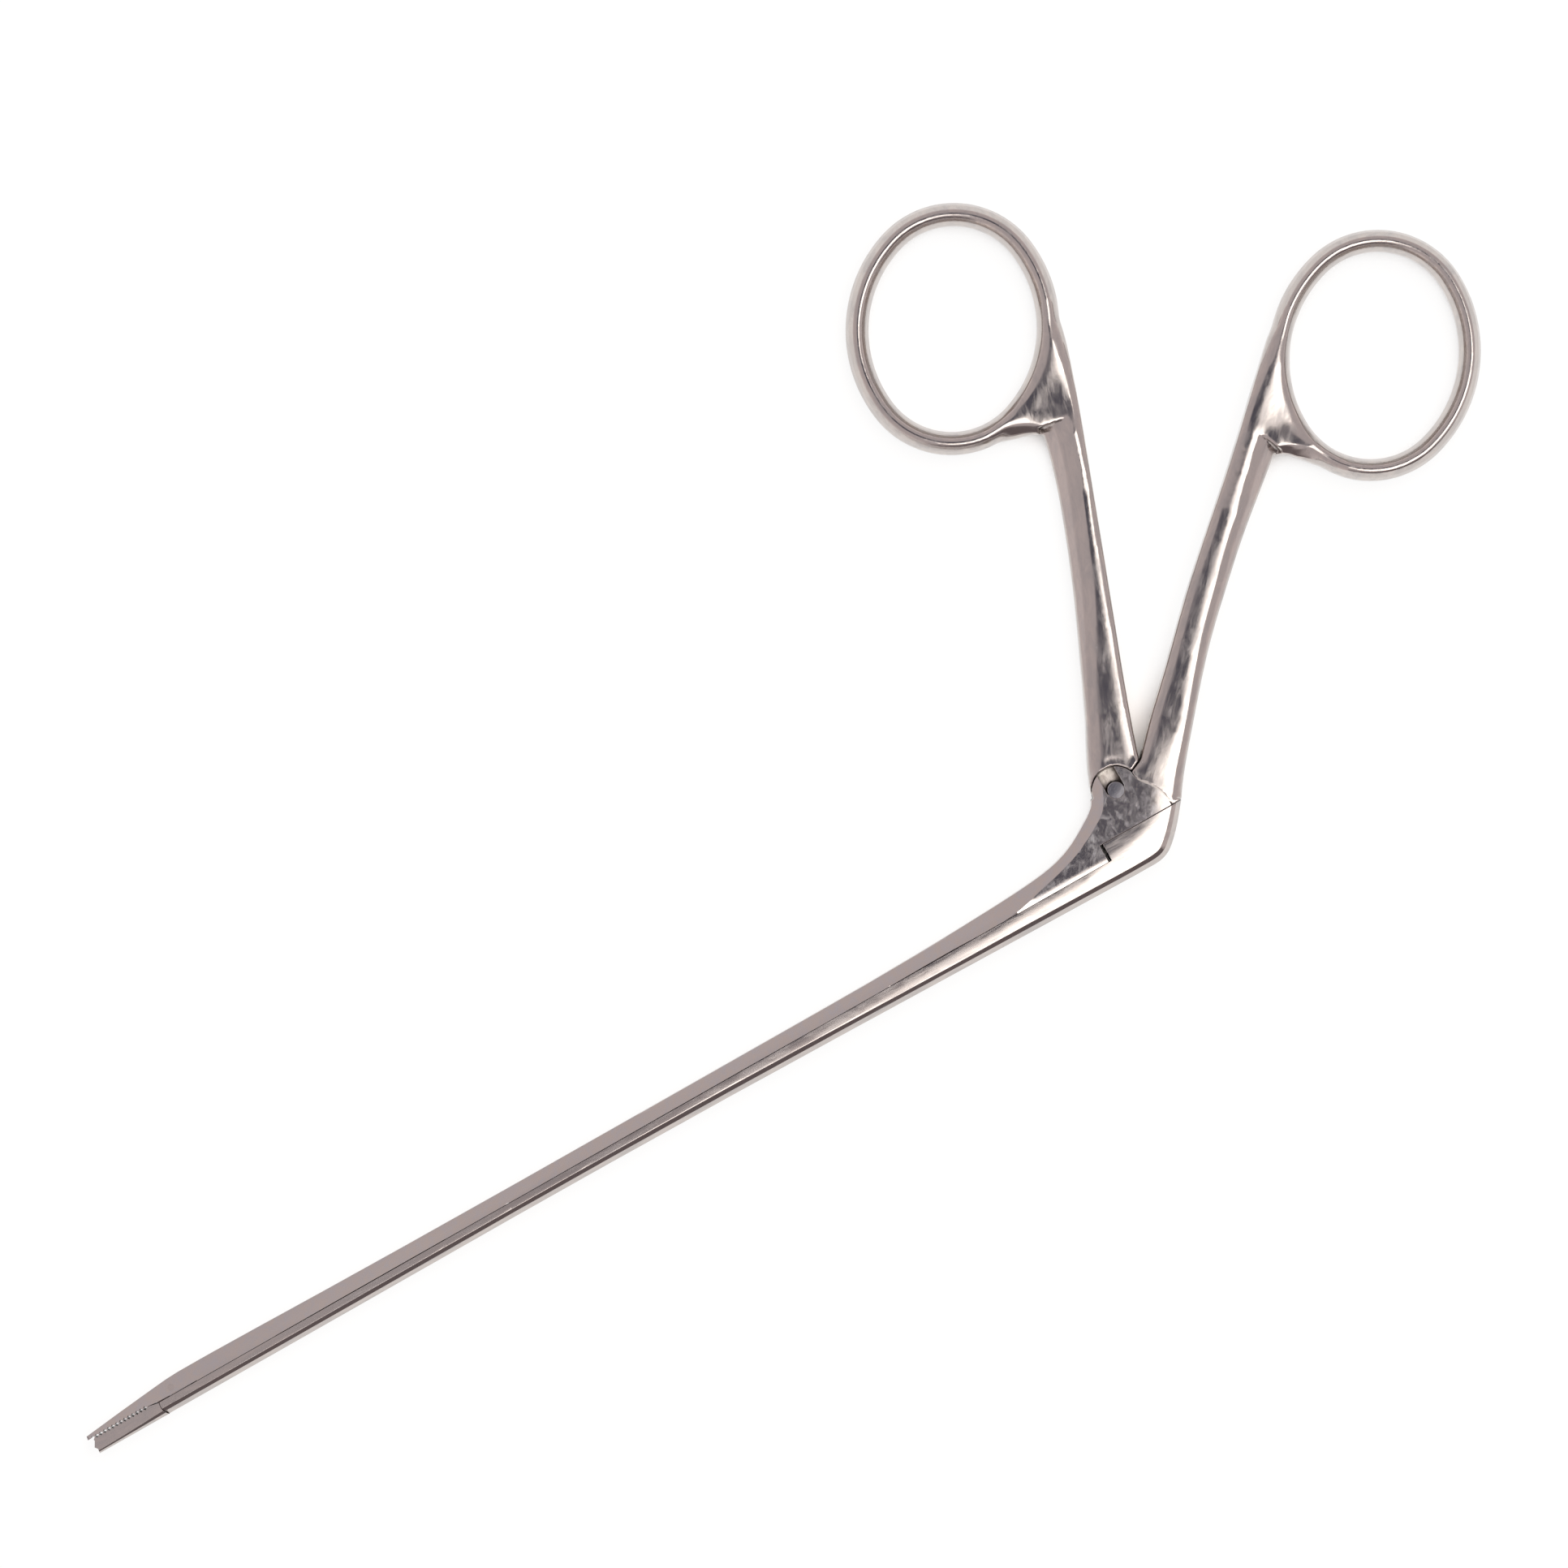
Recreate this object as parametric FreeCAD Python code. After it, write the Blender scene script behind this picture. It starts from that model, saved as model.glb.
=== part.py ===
# Ear forceps with finger rings: a fixed half, a hand lever, a slide rod and a hinged lower jaw.
# Millimetres. The instrument lies flat: +X runs along the shaft from the jaws to the knee,
# +Y points to the finger rings, +Z is up. The origin is on the handle pivot's axis, in the
# plane that the underside of the lock rests on.
import FreeCAD
import Part
import math
import os

V = FreeCAD.Vector

# Lock and handle pivot
lock_thick = 5.6
rim_r = 2.93
rim_start = 20.0
rim_end = 170.5
tongue_thick = 2.0
tongue_disc_r = 2.75
side_gap = 0.05
shoulder_gap = 0.10
foot_turn = 2.0
pivot_pin_r = 1.05
running_gap = 0.03
sight_slot_half = 1.18

# Motion: how far the lever opens, and how far that draws the slide rod back
lever_open = 10.0
slide_travel = 1.0
drive_pin_r = 0.7
drive_pin_len = 4.2
tail_end_r = 1.5
tail_root_half = 1.3
tail_swing_gap = 0.25
tail_root_gap = 0.35
tongue_neck = [(-2.3, 1.9), (-0.9, 5.2), (4.2, 5.2), (3.4, 2.2), (1.9, 1.7)]
drive_slot_gap = 0.025
pin_end_gap = 0.06
pocket_gap = 0.25

# Rods and the seam between them
seam_y = -7.2
upper_seam_y = -4.93
seam_gap = 0.06
notch_x = -5.13
notch_gap = 0.42
rod_taper_x = -20.0
rod_tip_thick = 3.1
jaw_tip_thick = 2.3

# Bevels: their steepness and the plain side left between the two faces' bevels
facet_slope = 0.68
web_slope = 0.80
slide_slope = 1.05
jaw_slope = 0.90
rod_land = 1.1
slide_land = 0.9
bevel_overrun = 0.6
cut_reach = 10.0
round_share = 0.52
round_drop = 0.3

# Jaws: hinge, link and serrations
jaw_tip_x = -149.4
jaw_hook = 0.10
jaw_root_x = -139.7
jaw_line_y = -6.98
jaw_depth_y = -9.08
jaw_pin_r = 0.4
jaw_pivot = (-137.4, -6.33)
link_arm = 1.6
jaw_tongue_thick = 1.0
jaw_tongue_r = 0.75
knuckle_r = 1.72
knuckle_gap = 0.06
fork_reach = 2.6
fork_gap = 0.08
link_hole_gap = 0.03
heel_overlap = 0.4
heel_rise = 0.35
heel_shoulder_angle = 130.0
tooth_pitch = 0.57
tooth_depth = 0.24
tooth_half = 0.24
tooth_count = 14
tooth_first_x = -148.83
jaw_gap = 0.05
relief_depth = 0.12
jaw_nose = [(-148.85, jaw_line_y - jaw_gap), (-148.80, -7.45), (-149.22, -8.15), (-148.93, -8.50),
            (-149.03, jaw_depth_y)]

# Guide studs: T-shaped, held in the slide rod, running in slots of the fixed rod
stud_neck_r = 0.4
stud_head_r = 0.75
stud_head_len = 0.5
stud_shank_len = 1.15
stud_neck_gap = 0.12
stud_side_gap = 0.05
stud_xs = {"front_guide_stud": -122.0, "rear_guide_stud": -34.0}
keyhole_offset = 3.2

# Finger rings: the bar's middle line is an oval of four arcs, its section an upright oval of flats.
# A ring is placed by the point where its bar sits on the shank, in a direction from its centre.
# Its shank's underside and inner edge run into the bar in two more directions, with their bevels.
ring_depth = lock_thick
ring_end_radius = 10.45
bar_flats = 12
ring_root_points = 6
rings = {
    "front": {"seat": (16.785, 48.723), "seat_angle": 300.0,
              "long": 14.11, "short": 11.77, "turn": 58.0, "bar": 2.85,
              "web_angle": 256.8, "web_bevel": 1.8, "inner_angle": 349.6, "inner_bevel": 1.5},
    "rear": {"seat": (41.987, 31.830), "seat_angle": 175.0,
             "long": 14.15, "short": 11.74, "turn": 53.4, "bar": 2.70,
             "web_angle": 222.9, "web_bevel": 1.8, "inner_angle": 123.9, "inner_bevel": 1.35},
}

# Handle shanks: they thin towards a waist and thicken again to run level into their rings
shank_waist_thick = 4.6
shank_taper_start = 9.0
shank_taper_end = 37.0
web_rise_end = 45.0
front_shank_angle = 66.0
rear_shank_angle = 42.0

# Outer edge of the fixed rod from the jaw tip to the lock's rim: x, y, width of its bevel
fixed_edge = [
    (-149.40, -6.50, 0.48), (-144.50, -5.93, 1.05), (-140.00, -5.45, 1.60),
    (-137.00, -5.17, 1.95), (-134.00, -5.11, 2.05), (-120.00, -5.28, 1.88),
    (-90.00, -5.55, 1.62), (-50.00, -5.58, 1.60), (-35.00, -5.52, 1.66),
    (-25.00, -5.25, 1.90), (-19.00, -4.99, 2.12), (-14.50, -4.67, 1.50),
    (-10.80, -4.08, 1.20), (-8.00, -3.06, 1.25), (-6.16, -2.04, 1.35),
    (-4.75, -1.15, 1.42), (-3.80, -0.40, 1.45), (-3.25, 0.42, 1.45),
]
# The same bevel carried on across the rim
fixed_edge_run = [(-2.80, 1.25, 1.42), (-2.25, 2.20, 1.30), (-1.60, 3.20, 1.10)]
# Outer edge of the slide rod from its round front end, round the knee, to the upper seam
slide_edge = [
    (-139.80, -9.05, 0.95), (-120.00, -9.06, 1.00), (-80.00, -9.08, 1.05),
    (-50.00, -9.43, 1.08), (-20.00, -9.99, 1.10), (-8.00, -10.21, 1.10),
    (-1.00, -10.31, 1.12), (1.00, -10.14, 1.14), (2.10, -9.65, 1.15),
    (3.10, -8.83, 1.15), (4.70, -7.14, 1.12), (6.44, upper_seam_y - seam_gap, 1.10),
]
# Outer edge of the rear handle from the upper seam to its ring
rear_outer_edge = [
    (6.48, -4.93, 1.10), (8.42, -2.25, 1.00), (11.95, 1.98, 0.92), (15.88, 6.55, 1.05),
    (19.90, 10.85, 1.25), (23.95, 14.70, 1.45), (28.73, 19.08, 1.70), (33.08, 22.71, 2.15),
    (37.30, 26.20, 2.60),
]
# The same bevel carried on into the web, where it ends in a ledge
rear_edge_run = [(38.20, 26.55, 3.10)]
# Inner edge of the rear handle from the crotch until it runs into its ring
rear_inner_edge = [
    (4.42, 1.74, 0.30), (5.30, 2.70, 0.48), (7.20, 4.72, 0.60), (12.40, 9.74, 0.60),
    (18.93, 16.20, 0.55), (28.77, 25.10, 0.50), (34.23, 30.07, 0.50), (39.10, 34.70, 0.65),
    (42.00, 37.45, 0.95), (44.60, 39.75, 1.20),
]
# Underside of the rear ring, from the shank's outer edge until it runs into the ring
rear_web_edge = [
    (37.30, 26.20, 0.90), (38.68, 25.50, 1.20), (40.95, 22.95, 1.60),
]
# Outer edge of the front handle from the lock's rim to its ring
front_outer_edge = [
    (-2.86, 1.10, 1.35), (-2.25, 2.75, 1.30), (0.72, 8.70, 1.15), (3.12, 13.84, 1.30),
    (5.92, 19.98, 1.95), (8.59, 26.21, 2.25), (11.14, 32.84, 2.45), (12.78, 37.75, 2.95),
    (13.95, 42.40, 3.20),
]
# The same bevel carried on into the web, where it ends in a ledge
front_edge_run = [(14.12, 43.35, 3.35)]
# Inner edge of the front handle from its stop corner until it runs into its ring
front_inner_edge = [
    (4.33, 1.90, 0.35), (8.13, 12.73, 0.42), (10.53, 19.11, 0.45), (16.79, 35.97, 0.50),
    (20.17, 45.33, 0.70), (21.45, 49.10, 1.00), (22.55, 52.90, 1.30),
]
# Underside of the front ring, from the shank's outer edge until it runs into the ring
front_web_edge = [
    (13.95, 42.40, 0.90), (12.95, 42.98, 1.20), (10.70, 43.65, 1.60),
]
# Underside of the lower jaw
jaw_edge = [(-151.00, jaw_depth_y, 0.35), (-145.00, jaw_depth_y, 0.50), (-138.00, jaw_depth_y, 0.72)]
# Brazed joint between the lock and the rear handle, from the upper seam to the rim
braze_line = [(5.05, upper_seam_y), (4.78, -2.95), (4.15, -1.70), (3.35, -0.72)]

# Worked-out places
half = lock_thick / 2
tongue_slot_half = tongue_thick / 2 + side_gap
drive_arm = slide_travel / (2 * math.sin(math.radians(lever_open / 2)))
drive_at = (-slide_travel / 2, -drive_arm * math.cos(math.radians(lever_open / 2)))
jaw_open = 2 * math.degrees(math.asin(slide_travel / (2 * link_arm)))
link_at = (jaw_pivot[0] - slide_travel / 2,
           jaw_pivot[1] - link_arm * math.cos(math.radians(jaw_open / 2)))
link_play = link_arm * (1 - math.cos(math.radians(jaw_open / 2)))
step_x = notch_x + notch_gap


def on_rim(angle, radius=rim_r):
    return (radius * math.cos(math.radians(angle)), radius * math.sin(math.radians(angle)))


def flat(point, z=0.0):
    return V(point[0], point[1], z)


def line(a, b):
    return Part.makeLine(flat(a), flat(b))


def curve(points):
    spline = Part.BSplineCurve()
    spline.interpolate([flat(p) for p in points])
    return spline.toShape()


def arc(start, end, radius):
    # Arc about the handle pivot, from one angle to another in degrees
    return Part.Arc(*[flat(on_rim(angle, radius)) for angle in (start, (start + end) / 2, end)]).toShape()


def prism(edges, low, high):
    face = Part.Face(Part.Wire(edges))
    solid = face.extrude(V(0, 0, high - low))
    solid.translate(V(0, 0, low))
    return solid


def polygon(points, low, high):
    edges = [line(points[i - 1], points[i]) for i in range(len(points))]
    return prism(edges, low, high)


def disc(centre, radius, low, high):
    return Part.makeCylinder(radius, high - low, flat(centre, low), V(0, 0, 1))


def half_thick(x):
    # Half of the rods' thickness: even at the knee, thinning evenly towards the jaws
    front = rod_tip_thick / 2
    if x >= rod_taper_x:
        return half
    if x >= jaw_root_x:
        share = (rod_taper_x - x) / (rod_taper_x - jaw_root_x)
        return half + (front - half) * share
    share = (jaw_root_x - x) / (jaw_root_x - jaw_tip_x)
    return front + (jaw_tip_thick / 2 - front) * share


def rod_envelope():
    # Side view of both rods and the lock, carried through the whole width
    reach = 30.0
    xs = [jaw_tip_x - 1.0, jaw_root_x, rod_taper_x, reach]
    upper = [V(x, -reach, half_thick(x)) for x in xs]
    lower = [V(x, -reach, -half_thick(x)) for x in reversed(xs)]
    wire = Part.makePolygon(upper + lower + upper[:1])
    return Part.Face(wire).extrude(V(0, 2 * reach, 0))


def inward(points, index, side):
    # Unit normal of the edge at one of its points; side is 1 for left of the direction
    before = points[max(index - 1, 0)]
    after = points[min(index + 1, len(points) - 1)]
    dx = after[0] - before[0]
    dy = after[1] - before[1]
    size = math.hypot(dx, dy)
    return (-dy / size * side, dx / size * side)


def bevel_section(point, normal, width, drop, top, rounded):
    # Cross-section of what a bevel takes off: outside the line from ridge to edge
    ridge = (point[0] + normal[0] * width, point[1] + normal[1] * width)
    inner = V(ridge[0] + normal[0] * bevel_overrun, ridge[1] + normal[1] * bevel_overrun,
              top + bevel_overrun / 2)
    rail = [V(ridge[0], ridge[1], top)]
    if rounded:
        rail.append(V(point[0] + normal[0] * width * round_share,
                      point[1] + normal[1] * width * round_share, top - drop * round_drop))
    rail.append(flat(point, top - drop))
    step = rail[-1] - rail[-2]
    outer = rail[-1] + step * (bevel_overrun / step.Length)
    above = V(outer.x, outer.y, top + bevel_overrun)
    return [inner] + rail + [outer, above]


def bevel_cutter(edge, side, tops, slope, land=0.0, rounded=False):
    # Solid that takes a bevel off one face: ruled between smooth rails through its sections
    sections = []
    for i, (x, y, width) in enumerate(edge):
        drop = min(width * slope, tops[i] - land / 2)
        sections.append(bevel_section((x, y), inward(edge, i, side), width, drop, tops[i], rounded))
    marks = [0.0]
    for (x0, y0, _), (x1, y1, _) in zip(edge, edge[1:]):
        marks.append(marks[-1] + math.hypot(x1 - x0, y1 - y0))
    rails = []
    for corner in range(len(sections[0])):
        rail = Part.BSplineCurve()
        rail.interpolate(Points=[section[corner] for section in sections], Parameters=marks)
        rails.append(rail.toShape())
    faces = [Part.makeRuledSurface(rails[i - 1], rails[i]) for i in range(len(rails))]
    faces += [Part.Face(Part.makePolygon(end + end[:1])) for end in (sections[0], sections[-1])]
    shell = Part.makeShell(faces)
    shell.sewShape()
    solid = Part.makeSolid(shell)
    if solid.Volume < 0:
        solid.reverse()
    return solid


def both_faces(cutter):
    return [cutter, cutter.mirror(V(0, 0, 0), V(0, 0, 1))]


def cut_all(body, cutters):
    for cutter in cutters:
        body = body.cut(cutter)
    return body


def bar_section(ring):
    # Section of the bar in the plane of X and Z: flats ground round an upright oval
    step = 2 * math.pi / bar_flats
    wide = ring["bar"] / 2 / math.cos(step / 2)
    high = ring_depth / 2 / math.cos(step / 2)
    turns = [step * (i + 0.5) for i in range(bar_flats)]
    points = [V(wide * math.cos(t), 0, high * math.sin(t)) for t in turns]
    return Part.Face(Part.makePolygon(points + points[:1]))


def bar_reach(ring, angle):
    # Distance from a ring's centre to its bar's middle line in a direction
    t = math.radians(angle - ring["turn"])
    return 1 / math.hypot(math.cos(t) / ring["long"], math.sin(t) / ring["short"])


def ring_centre(ring):
    reach = bar_reach(ring, ring["seat_angle"])
    aim = math.radians(ring["seat_angle"])
    return (ring["seat"][0] - reach * math.cos(aim), ring["seat"][1] - reach * math.sin(aim))


def bar_middle(ring, angle):
    # Point on the bar's middle line in a direction from the ring's centre
    reach = bar_reach(ring, angle)
    x, y = ring_centre(ring)
    return (x + reach * math.cos(math.radians(angle)), y + reach * math.sin(math.radians(angle)))


def finger_ring(ring):
    # The bar's section swept round four arcs that meet smoothly
    long, short = ring["long"], ring["short"]
    end_away = long - ring_end_radius
    side_radius = (end_away ** 2 + short ** 2 - ring_end_radius ** 2) / (2 * (short - ring_end_radius))
    join = math.degrees(math.atan2(side_radius - short, end_away))
    parts = []
    for quarter in range(4):
        ends = quarter % 2 == 0
        radius = ring_end_radius if ends else side_radius
        away = end_away if ends else short - side_radius
        spread = join if ends else 90 - join
        section = bar_section(ring)
        section.translate(V(radius, 0, 0))
        section.rotate(V(0, 0, 0), V(0, 0, 1), -spread)
        part = section.revolve(V(0, 0, 0), V(0, 0, 1), 2 * spread)
        part.translate(V(away, 0, 0))
        part.rotate(V(0, 0, 0), V(0, 0, 1), 90 * quarter + ring["turn"])
        parts.append(part)
    body = parts[0].multiFuse(parts[1:])
    body.translate(flat(ring_centre(ring)))
    return body


def handle_top(distance):
    # Half of a shank's thickness at a distance from the pivot: least at its waist
    share = (distance - shank_taper_start) / (shank_taper_end - shank_taper_start)
    if distance > shank_taper_end:
        share = (web_rise_end - distance) / (web_rise_end - shank_taper_end)
    share = min(max(share, 0.0), 1.0)
    return half + (shank_waist_thick / 2 - half) * share


def shank_envelope(direction):
    # Side view of a shank with its waist, carried through its width
    reach = 25.0
    ds = [-reach, shank_taper_start, shank_taper_end, web_rise_end, web_rise_end + 2 * reach]
    points = [V(d, -reach, handle_top(d)) for d in ds]
    points += [V(d, -reach, -handle_top(d)) for d in reversed(ds)]
    solid = Part.Face(Part.makePolygon(points + points[:1])).extrude(V(0, 2 * reach, 0))
    solid.rotate(V(0, 0, 0), V(0, 0, 1), direction)
    return solid


def shank_tops(points, direction):
    c = math.cos(math.radians(direction))
    s = math.sin(math.radians(direction))
    return [handle_top(p[0] * c + p[1] * s) for p in points]


def ring_root(ring):
    # Points along the bar's middle line that close a shank's outline inside the ring
    first, last = ring["web_angle"], ring["inner_angle"]
    step = (last - first) / (ring_root_points - 1)
    return [bar_middle(ring, first + step * i) for i in range(ring_root_points)]


def shaped_shank(edges, foot, ring, direction, side):
    # Shank outline with its bevels: outer edge and its run, ring underside, ring root, inner edge, foot
    outer, run, web, inner = edges
    web = web + [bar_middle(ring, ring["web_angle"]) + (ring["web_bevel"],)]
    inner = inner + [bar_middle(ring, ring["inner_angle"]) + (ring["inner_bevel"],)]
    outline = [curve(outer), curve(web), curve(ring_root(ring)), curve(inner[::-1])]
    body = prism(outline + foot, -half, half)
    body = body.common(shank_envelope(direction))
    for edge, turn, slope, rounded in ((outer + run, side, facet_slope, True), (web, side, web_slope, False),
                                       (inner, -side, web_slope, False)):
        tops = shank_tops(edge, direction)
        body = cut_all(body, both_faces(bevel_cutter(edge, turn, tops, slope, 0.0, rounded)))
    return body


def fixed_rod_outline():
    outer = [p[:2] for p in fixed_edge]
    teeth_end = tooth_first_x + tooth_pitch * tooth_count
    corners = [outer[0], (outer[0][0] - jaw_hook, jaw_line_y), (teeth_end, jaw_line_y),
               (jaw_root_x, seam_y + relief_depth), (jaw_root_x, seam_y), (notch_x, seam_y),
               (notch_x, upper_seam_y), braze_line[0]]
    edges = [line(a, b) for a, b in zip(corners, corners[1:])]
    edges.append(curve(braze_line + [on_rim(rim_start)]))
    edges.append(arc(rim_start, rim_end, rim_r))
    edges.append(line(on_rim(rim_end), outer[-1]))
    edges.append(curve(outer[::-1]))
    return edges


def tongue_slot():
    # Slot between the lock's cheeks for the lever's tongue and its swinging tail
    reach = math.sin(math.radians(lever_open / 2)) * -upper_seam_y
    wide = tail_end_r + reach + tail_swing_gap
    narrow = tail_root_half + tail_root_gap
    tail = [(-narrow, 0), (-wide, upper_seam_y - 1), (wide, upper_seam_y - 1), (narrow, 0)]
    slot = polygon(tail, -tongue_slot_half, tongue_slot_half)
    return slot.fuse(disc((0, 0), rim_r + tail_root_gap, -tongue_slot_half, tongue_slot_half))


def guide_slot(x):
    # T-slot in the fixed rod, with the round entry that the stud's head goes in by
    neck = stud_neck_r + stud_side_gap
    head = stud_head_r + stud_side_gap
    head_low = seam_y + stud_neck_gap
    head_high = head_low + stud_head_len + 2 * stud_side_gap
    start = x - stud_side_gap
    end = x + keyhole_offset
    parts = []
    for radius, low, high in ((neck, seam_y - 1, head_high), (head, head_low, head_high)):
        parts.append(Part.makeBox(end - start, high - low, 2 * radius, V(start, low, -radius)))
        parts.append(Part.makeCylinder(radius, high - low, V(start, low, 0), V(0, 1, 0)))
    parts.append(Part.makeCylinder(head, head_high - seam_y + 1, V(end, seam_y - 1, 0), V(0, 1, 0)))
    return parts[0].multiFuse(parts[1:])


def guide_stud(x):
    shank = Part.makeCylinder(stud_neck_r, stud_shank_len, V(x, seam_y - seam_gap - stud_shank_len, 0),
                              V(0, 1, 0))
    head_low = seam_y + stud_neck_gap + stud_side_gap
    neck = Part.makeCylinder(stud_neck_r, head_low - seam_y + seam_gap, V(x, seam_y - seam_gap, 0),
                             V(0, 1, 0))
    head = Part.makeCylinder(stud_head_r, stud_head_len, V(x, head_low, 0), V(0, 1, 0))
    return shank.multiFuse([neck, head]).removeSplitter()


def teeth(line_y, side):
    # Vee grooves across a jaw's gripping face; side is 1 where they cut upwards
    cuts = []
    for i in range(tooth_count):
        x = tooth_first_x + tooth_pitch * i
        deep = (x, line_y + tooth_depth * side)
        cuts.append(polygon([(x - tooth_half, line_y), (x + tooth_half, line_y), deep], -half, half))
    return cuts


def heel_shoulder(radius):
    # Where the upper side of the jaw's heel touches the round about the jaw's hinge
    aim = math.radians(heel_shoulder_angle)
    return (jaw_pivot[0] + radius * math.cos(aim), jaw_pivot[1] + radius * math.sin(aim))


def jaw_slot_fixed():
    # Slot in the fixed rod for the jaw's heel, open below
    r = jaw_tongue_r + fork_gap
    px, py = jaw_pivot
    low = seam_y - 1
    wide = jaw_tongue_thick / 2 + side_gap
    left = jaw_root_x - 2 * side_gap
    right = link_at[0] + slide_travel + r
    points = [heel_shoulder(r), (left, seam_y + relief_depth), (left, low),
              (right, low), (right, seam_y), (px + r, py)]
    return polygon(points, -wide, wide).fuse(disc(jaw_pivot, r, -wide, wide))


def fixed_blank():
    # Fixed rod and lock with their bevels, before any slot or hole
    body = prism(fixed_rod_outline(), -half, half).common(rod_envelope())
    edge = fixed_edge + fixed_edge_run
    tops = [half_thick(p[0]) for p in edge]
    return cut_all(body, both_faces(bevel_cutter(edge, -1, tops, facet_slope, rod_land)))


def frame_rod():
    body = fixed_blank()
    body = body.cut(tongue_slot())
    sight = Part.makeBox(2 * sight_slot_half, 2 * rim_r, half + 1, V(-sight_slot_half, 0, 0))
    body = body.cut(sight)
    body = body.cut(disc((0, 0), pivot_pin_r, -half - 1, half + 1))
    for x in stud_xs.values():
        body = body.cut(guide_slot(x))
    body = cut_all(body, teeth(jaw_line_y, 1))
    body = body.cut(jaw_slot_fixed())
    body = body.cut(disc(jaw_pivot, jaw_pin_r, -half, half))
    return body.removeSplitter()


def rear_handle():
    ring = rings["rear"]
    foot = [line(rear_inner_edge[0], on_rim(rim_start)),
            curve((braze_line + [on_rim(rim_start)])[::-1]),
            line(braze_line[0], rear_outer_edge[0][:2])]
    edges = (rear_outer_edge, rear_edge_run, rear_web_edge, rear_inner_edge)
    body = shaped_shank(edges, foot, ring, rear_shank_angle, 1)
    return body.fuse(finger_ring(ring)).removeSplitter()


def lever_tongue():
    # Thin middle of the lever: disc round the pivot, neck up to the shank, tail down to the pin
    t = tongue_thick / 2
    parts = [polygon(tongue_neck, -t, t)]
    dx, dy = drive_at
    size = math.hypot(dx, dy)
    across = (-dy / size, dx / size)
    top = tail_root_half
    low = tail_end_r
    tail = [(-across[0] * top, -across[1] * top), (dx - across[0] * low, dy - across[1] * low),
            (dx + across[0] * low, dy + across[1] * low), (across[0] * top, across[1] * top)]
    parts.append(polygon(tail, -t, t))
    parts.append(disc(drive_at, tail_end_r, -t, t))
    return disc((0, 0), tongue_disc_r, -t, t).multiFuse(parts)


def front_handle():
    ring = rings["front"]
    shoulder_r = rim_r + shoulder_gap
    foot_start = rim_start + foot_turn
    feather = front_outer_edge[0]
    foot_end = math.degrees(math.atan2(feather[1], feather[0]))
    foot = [line(front_inner_edge[0], on_rim(foot_start, shoulder_r)),
            arc(foot_start, foot_end, shoulder_r),
            line(on_rim(foot_end, shoulder_r), feather)]
    edges = (front_outer_edge, front_edge_run, front_web_edge, front_inner_edge)
    body = shaped_shank(edges, foot, ring, front_shank_angle, -1)
    body = body.multiFuse([lever_tongue(), finger_ring(ring)])
    body = body.cut(disc((0, 0), pivot_pin_r + running_gap, -half, half))
    body = body.cut(disc(drive_at, drive_pin_r, -half, half))
    return body.removeSplitter()


def slide_outline():
    low = seam_y - seam_gap
    high = upper_seam_y - seam_gap
    outer = [p[:2] for p in slide_edge]
    end = outer[-1]
    edges = [curve(outer), line(end, (step_x, high)), line((step_x, high), (step_x, low))]
    edges.append(line((step_x, low), (outer[0][0], low)))
    edges.append(line((outer[0][0], low), outer[0]))
    return edges


def slide_front():
    # What is taken off the slide rod's front so that it ends in a knuckle round the link pin
    x, y = link_at
    box = Part.makeBox(cut_reach, 2 * cut_reach, lock_thick * 2, V(x - cut_reach, y - cut_reach, -lock_thick))
    return box.cut(disc(link_at, knuckle_r, -lock_thick, lock_thick))


def drive_pocket():
    dx, dy = drive_at
    wide = tail_end_r + pocket_gap
    slot = Part.makeBox(2 * wide, cut_reach, 2 * tongue_slot_half,
                        V(dx - wide, dy - wide, -tongue_slot_half))
    r = drive_pin_r + drive_slot_gap
    lift = drive_arm * (1 - math.cos(math.radians(lever_open / 2)))
    long = drive_pin_len / 2 + pin_end_gap
    side = Part.makeBox(2 * r, cut_reach, 2 * long, V(dx - r, dy - lift - pin_end_gap, -long))
    seat = disc((dx, dy - lift - pin_end_gap), r, -long, long)
    return slot.multiFuse([side, seat])


def slide_blank():
    # Slide rod with its bevels and its round front, before any slot or hole
    body = prism(slide_outline(), -half, half).common(rod_envelope())
    tops = [half_thick(p[0]) for p in slide_edge]
    body = cut_all(body, both_faces(bevel_cutter(slide_edge, 1, tops, slide_slope, slide_land, True)))
    return body.cut(slide_front())


def slide_rod():
    body = slide_blank()
    wide = jaw_tongue_thick / 2 + side_gap
    length = fork_reach + jaw_pivot[0] - link_at[0] + jaw_tongue_r + fork_gap
    corner = V(link_at[0] - fork_reach, link_at[1] - cut_reach, -wide)
    body = body.cut(Part.makeBox(length, 2 * cut_reach, 2 * wide, corner))
    body = body.cut(disc(link_at, jaw_pin_r, -half, half))
    body = body.cut(drive_pocket())
    for x in stud_xs.values():
        low = seam_y - seam_gap - stud_shank_len
        body = body.cut(Part.makeCylinder(stud_neck_r, cut_reach, V(x, low, 0), V(0, 1, 0)))
    return body.removeSplitter()


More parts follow.
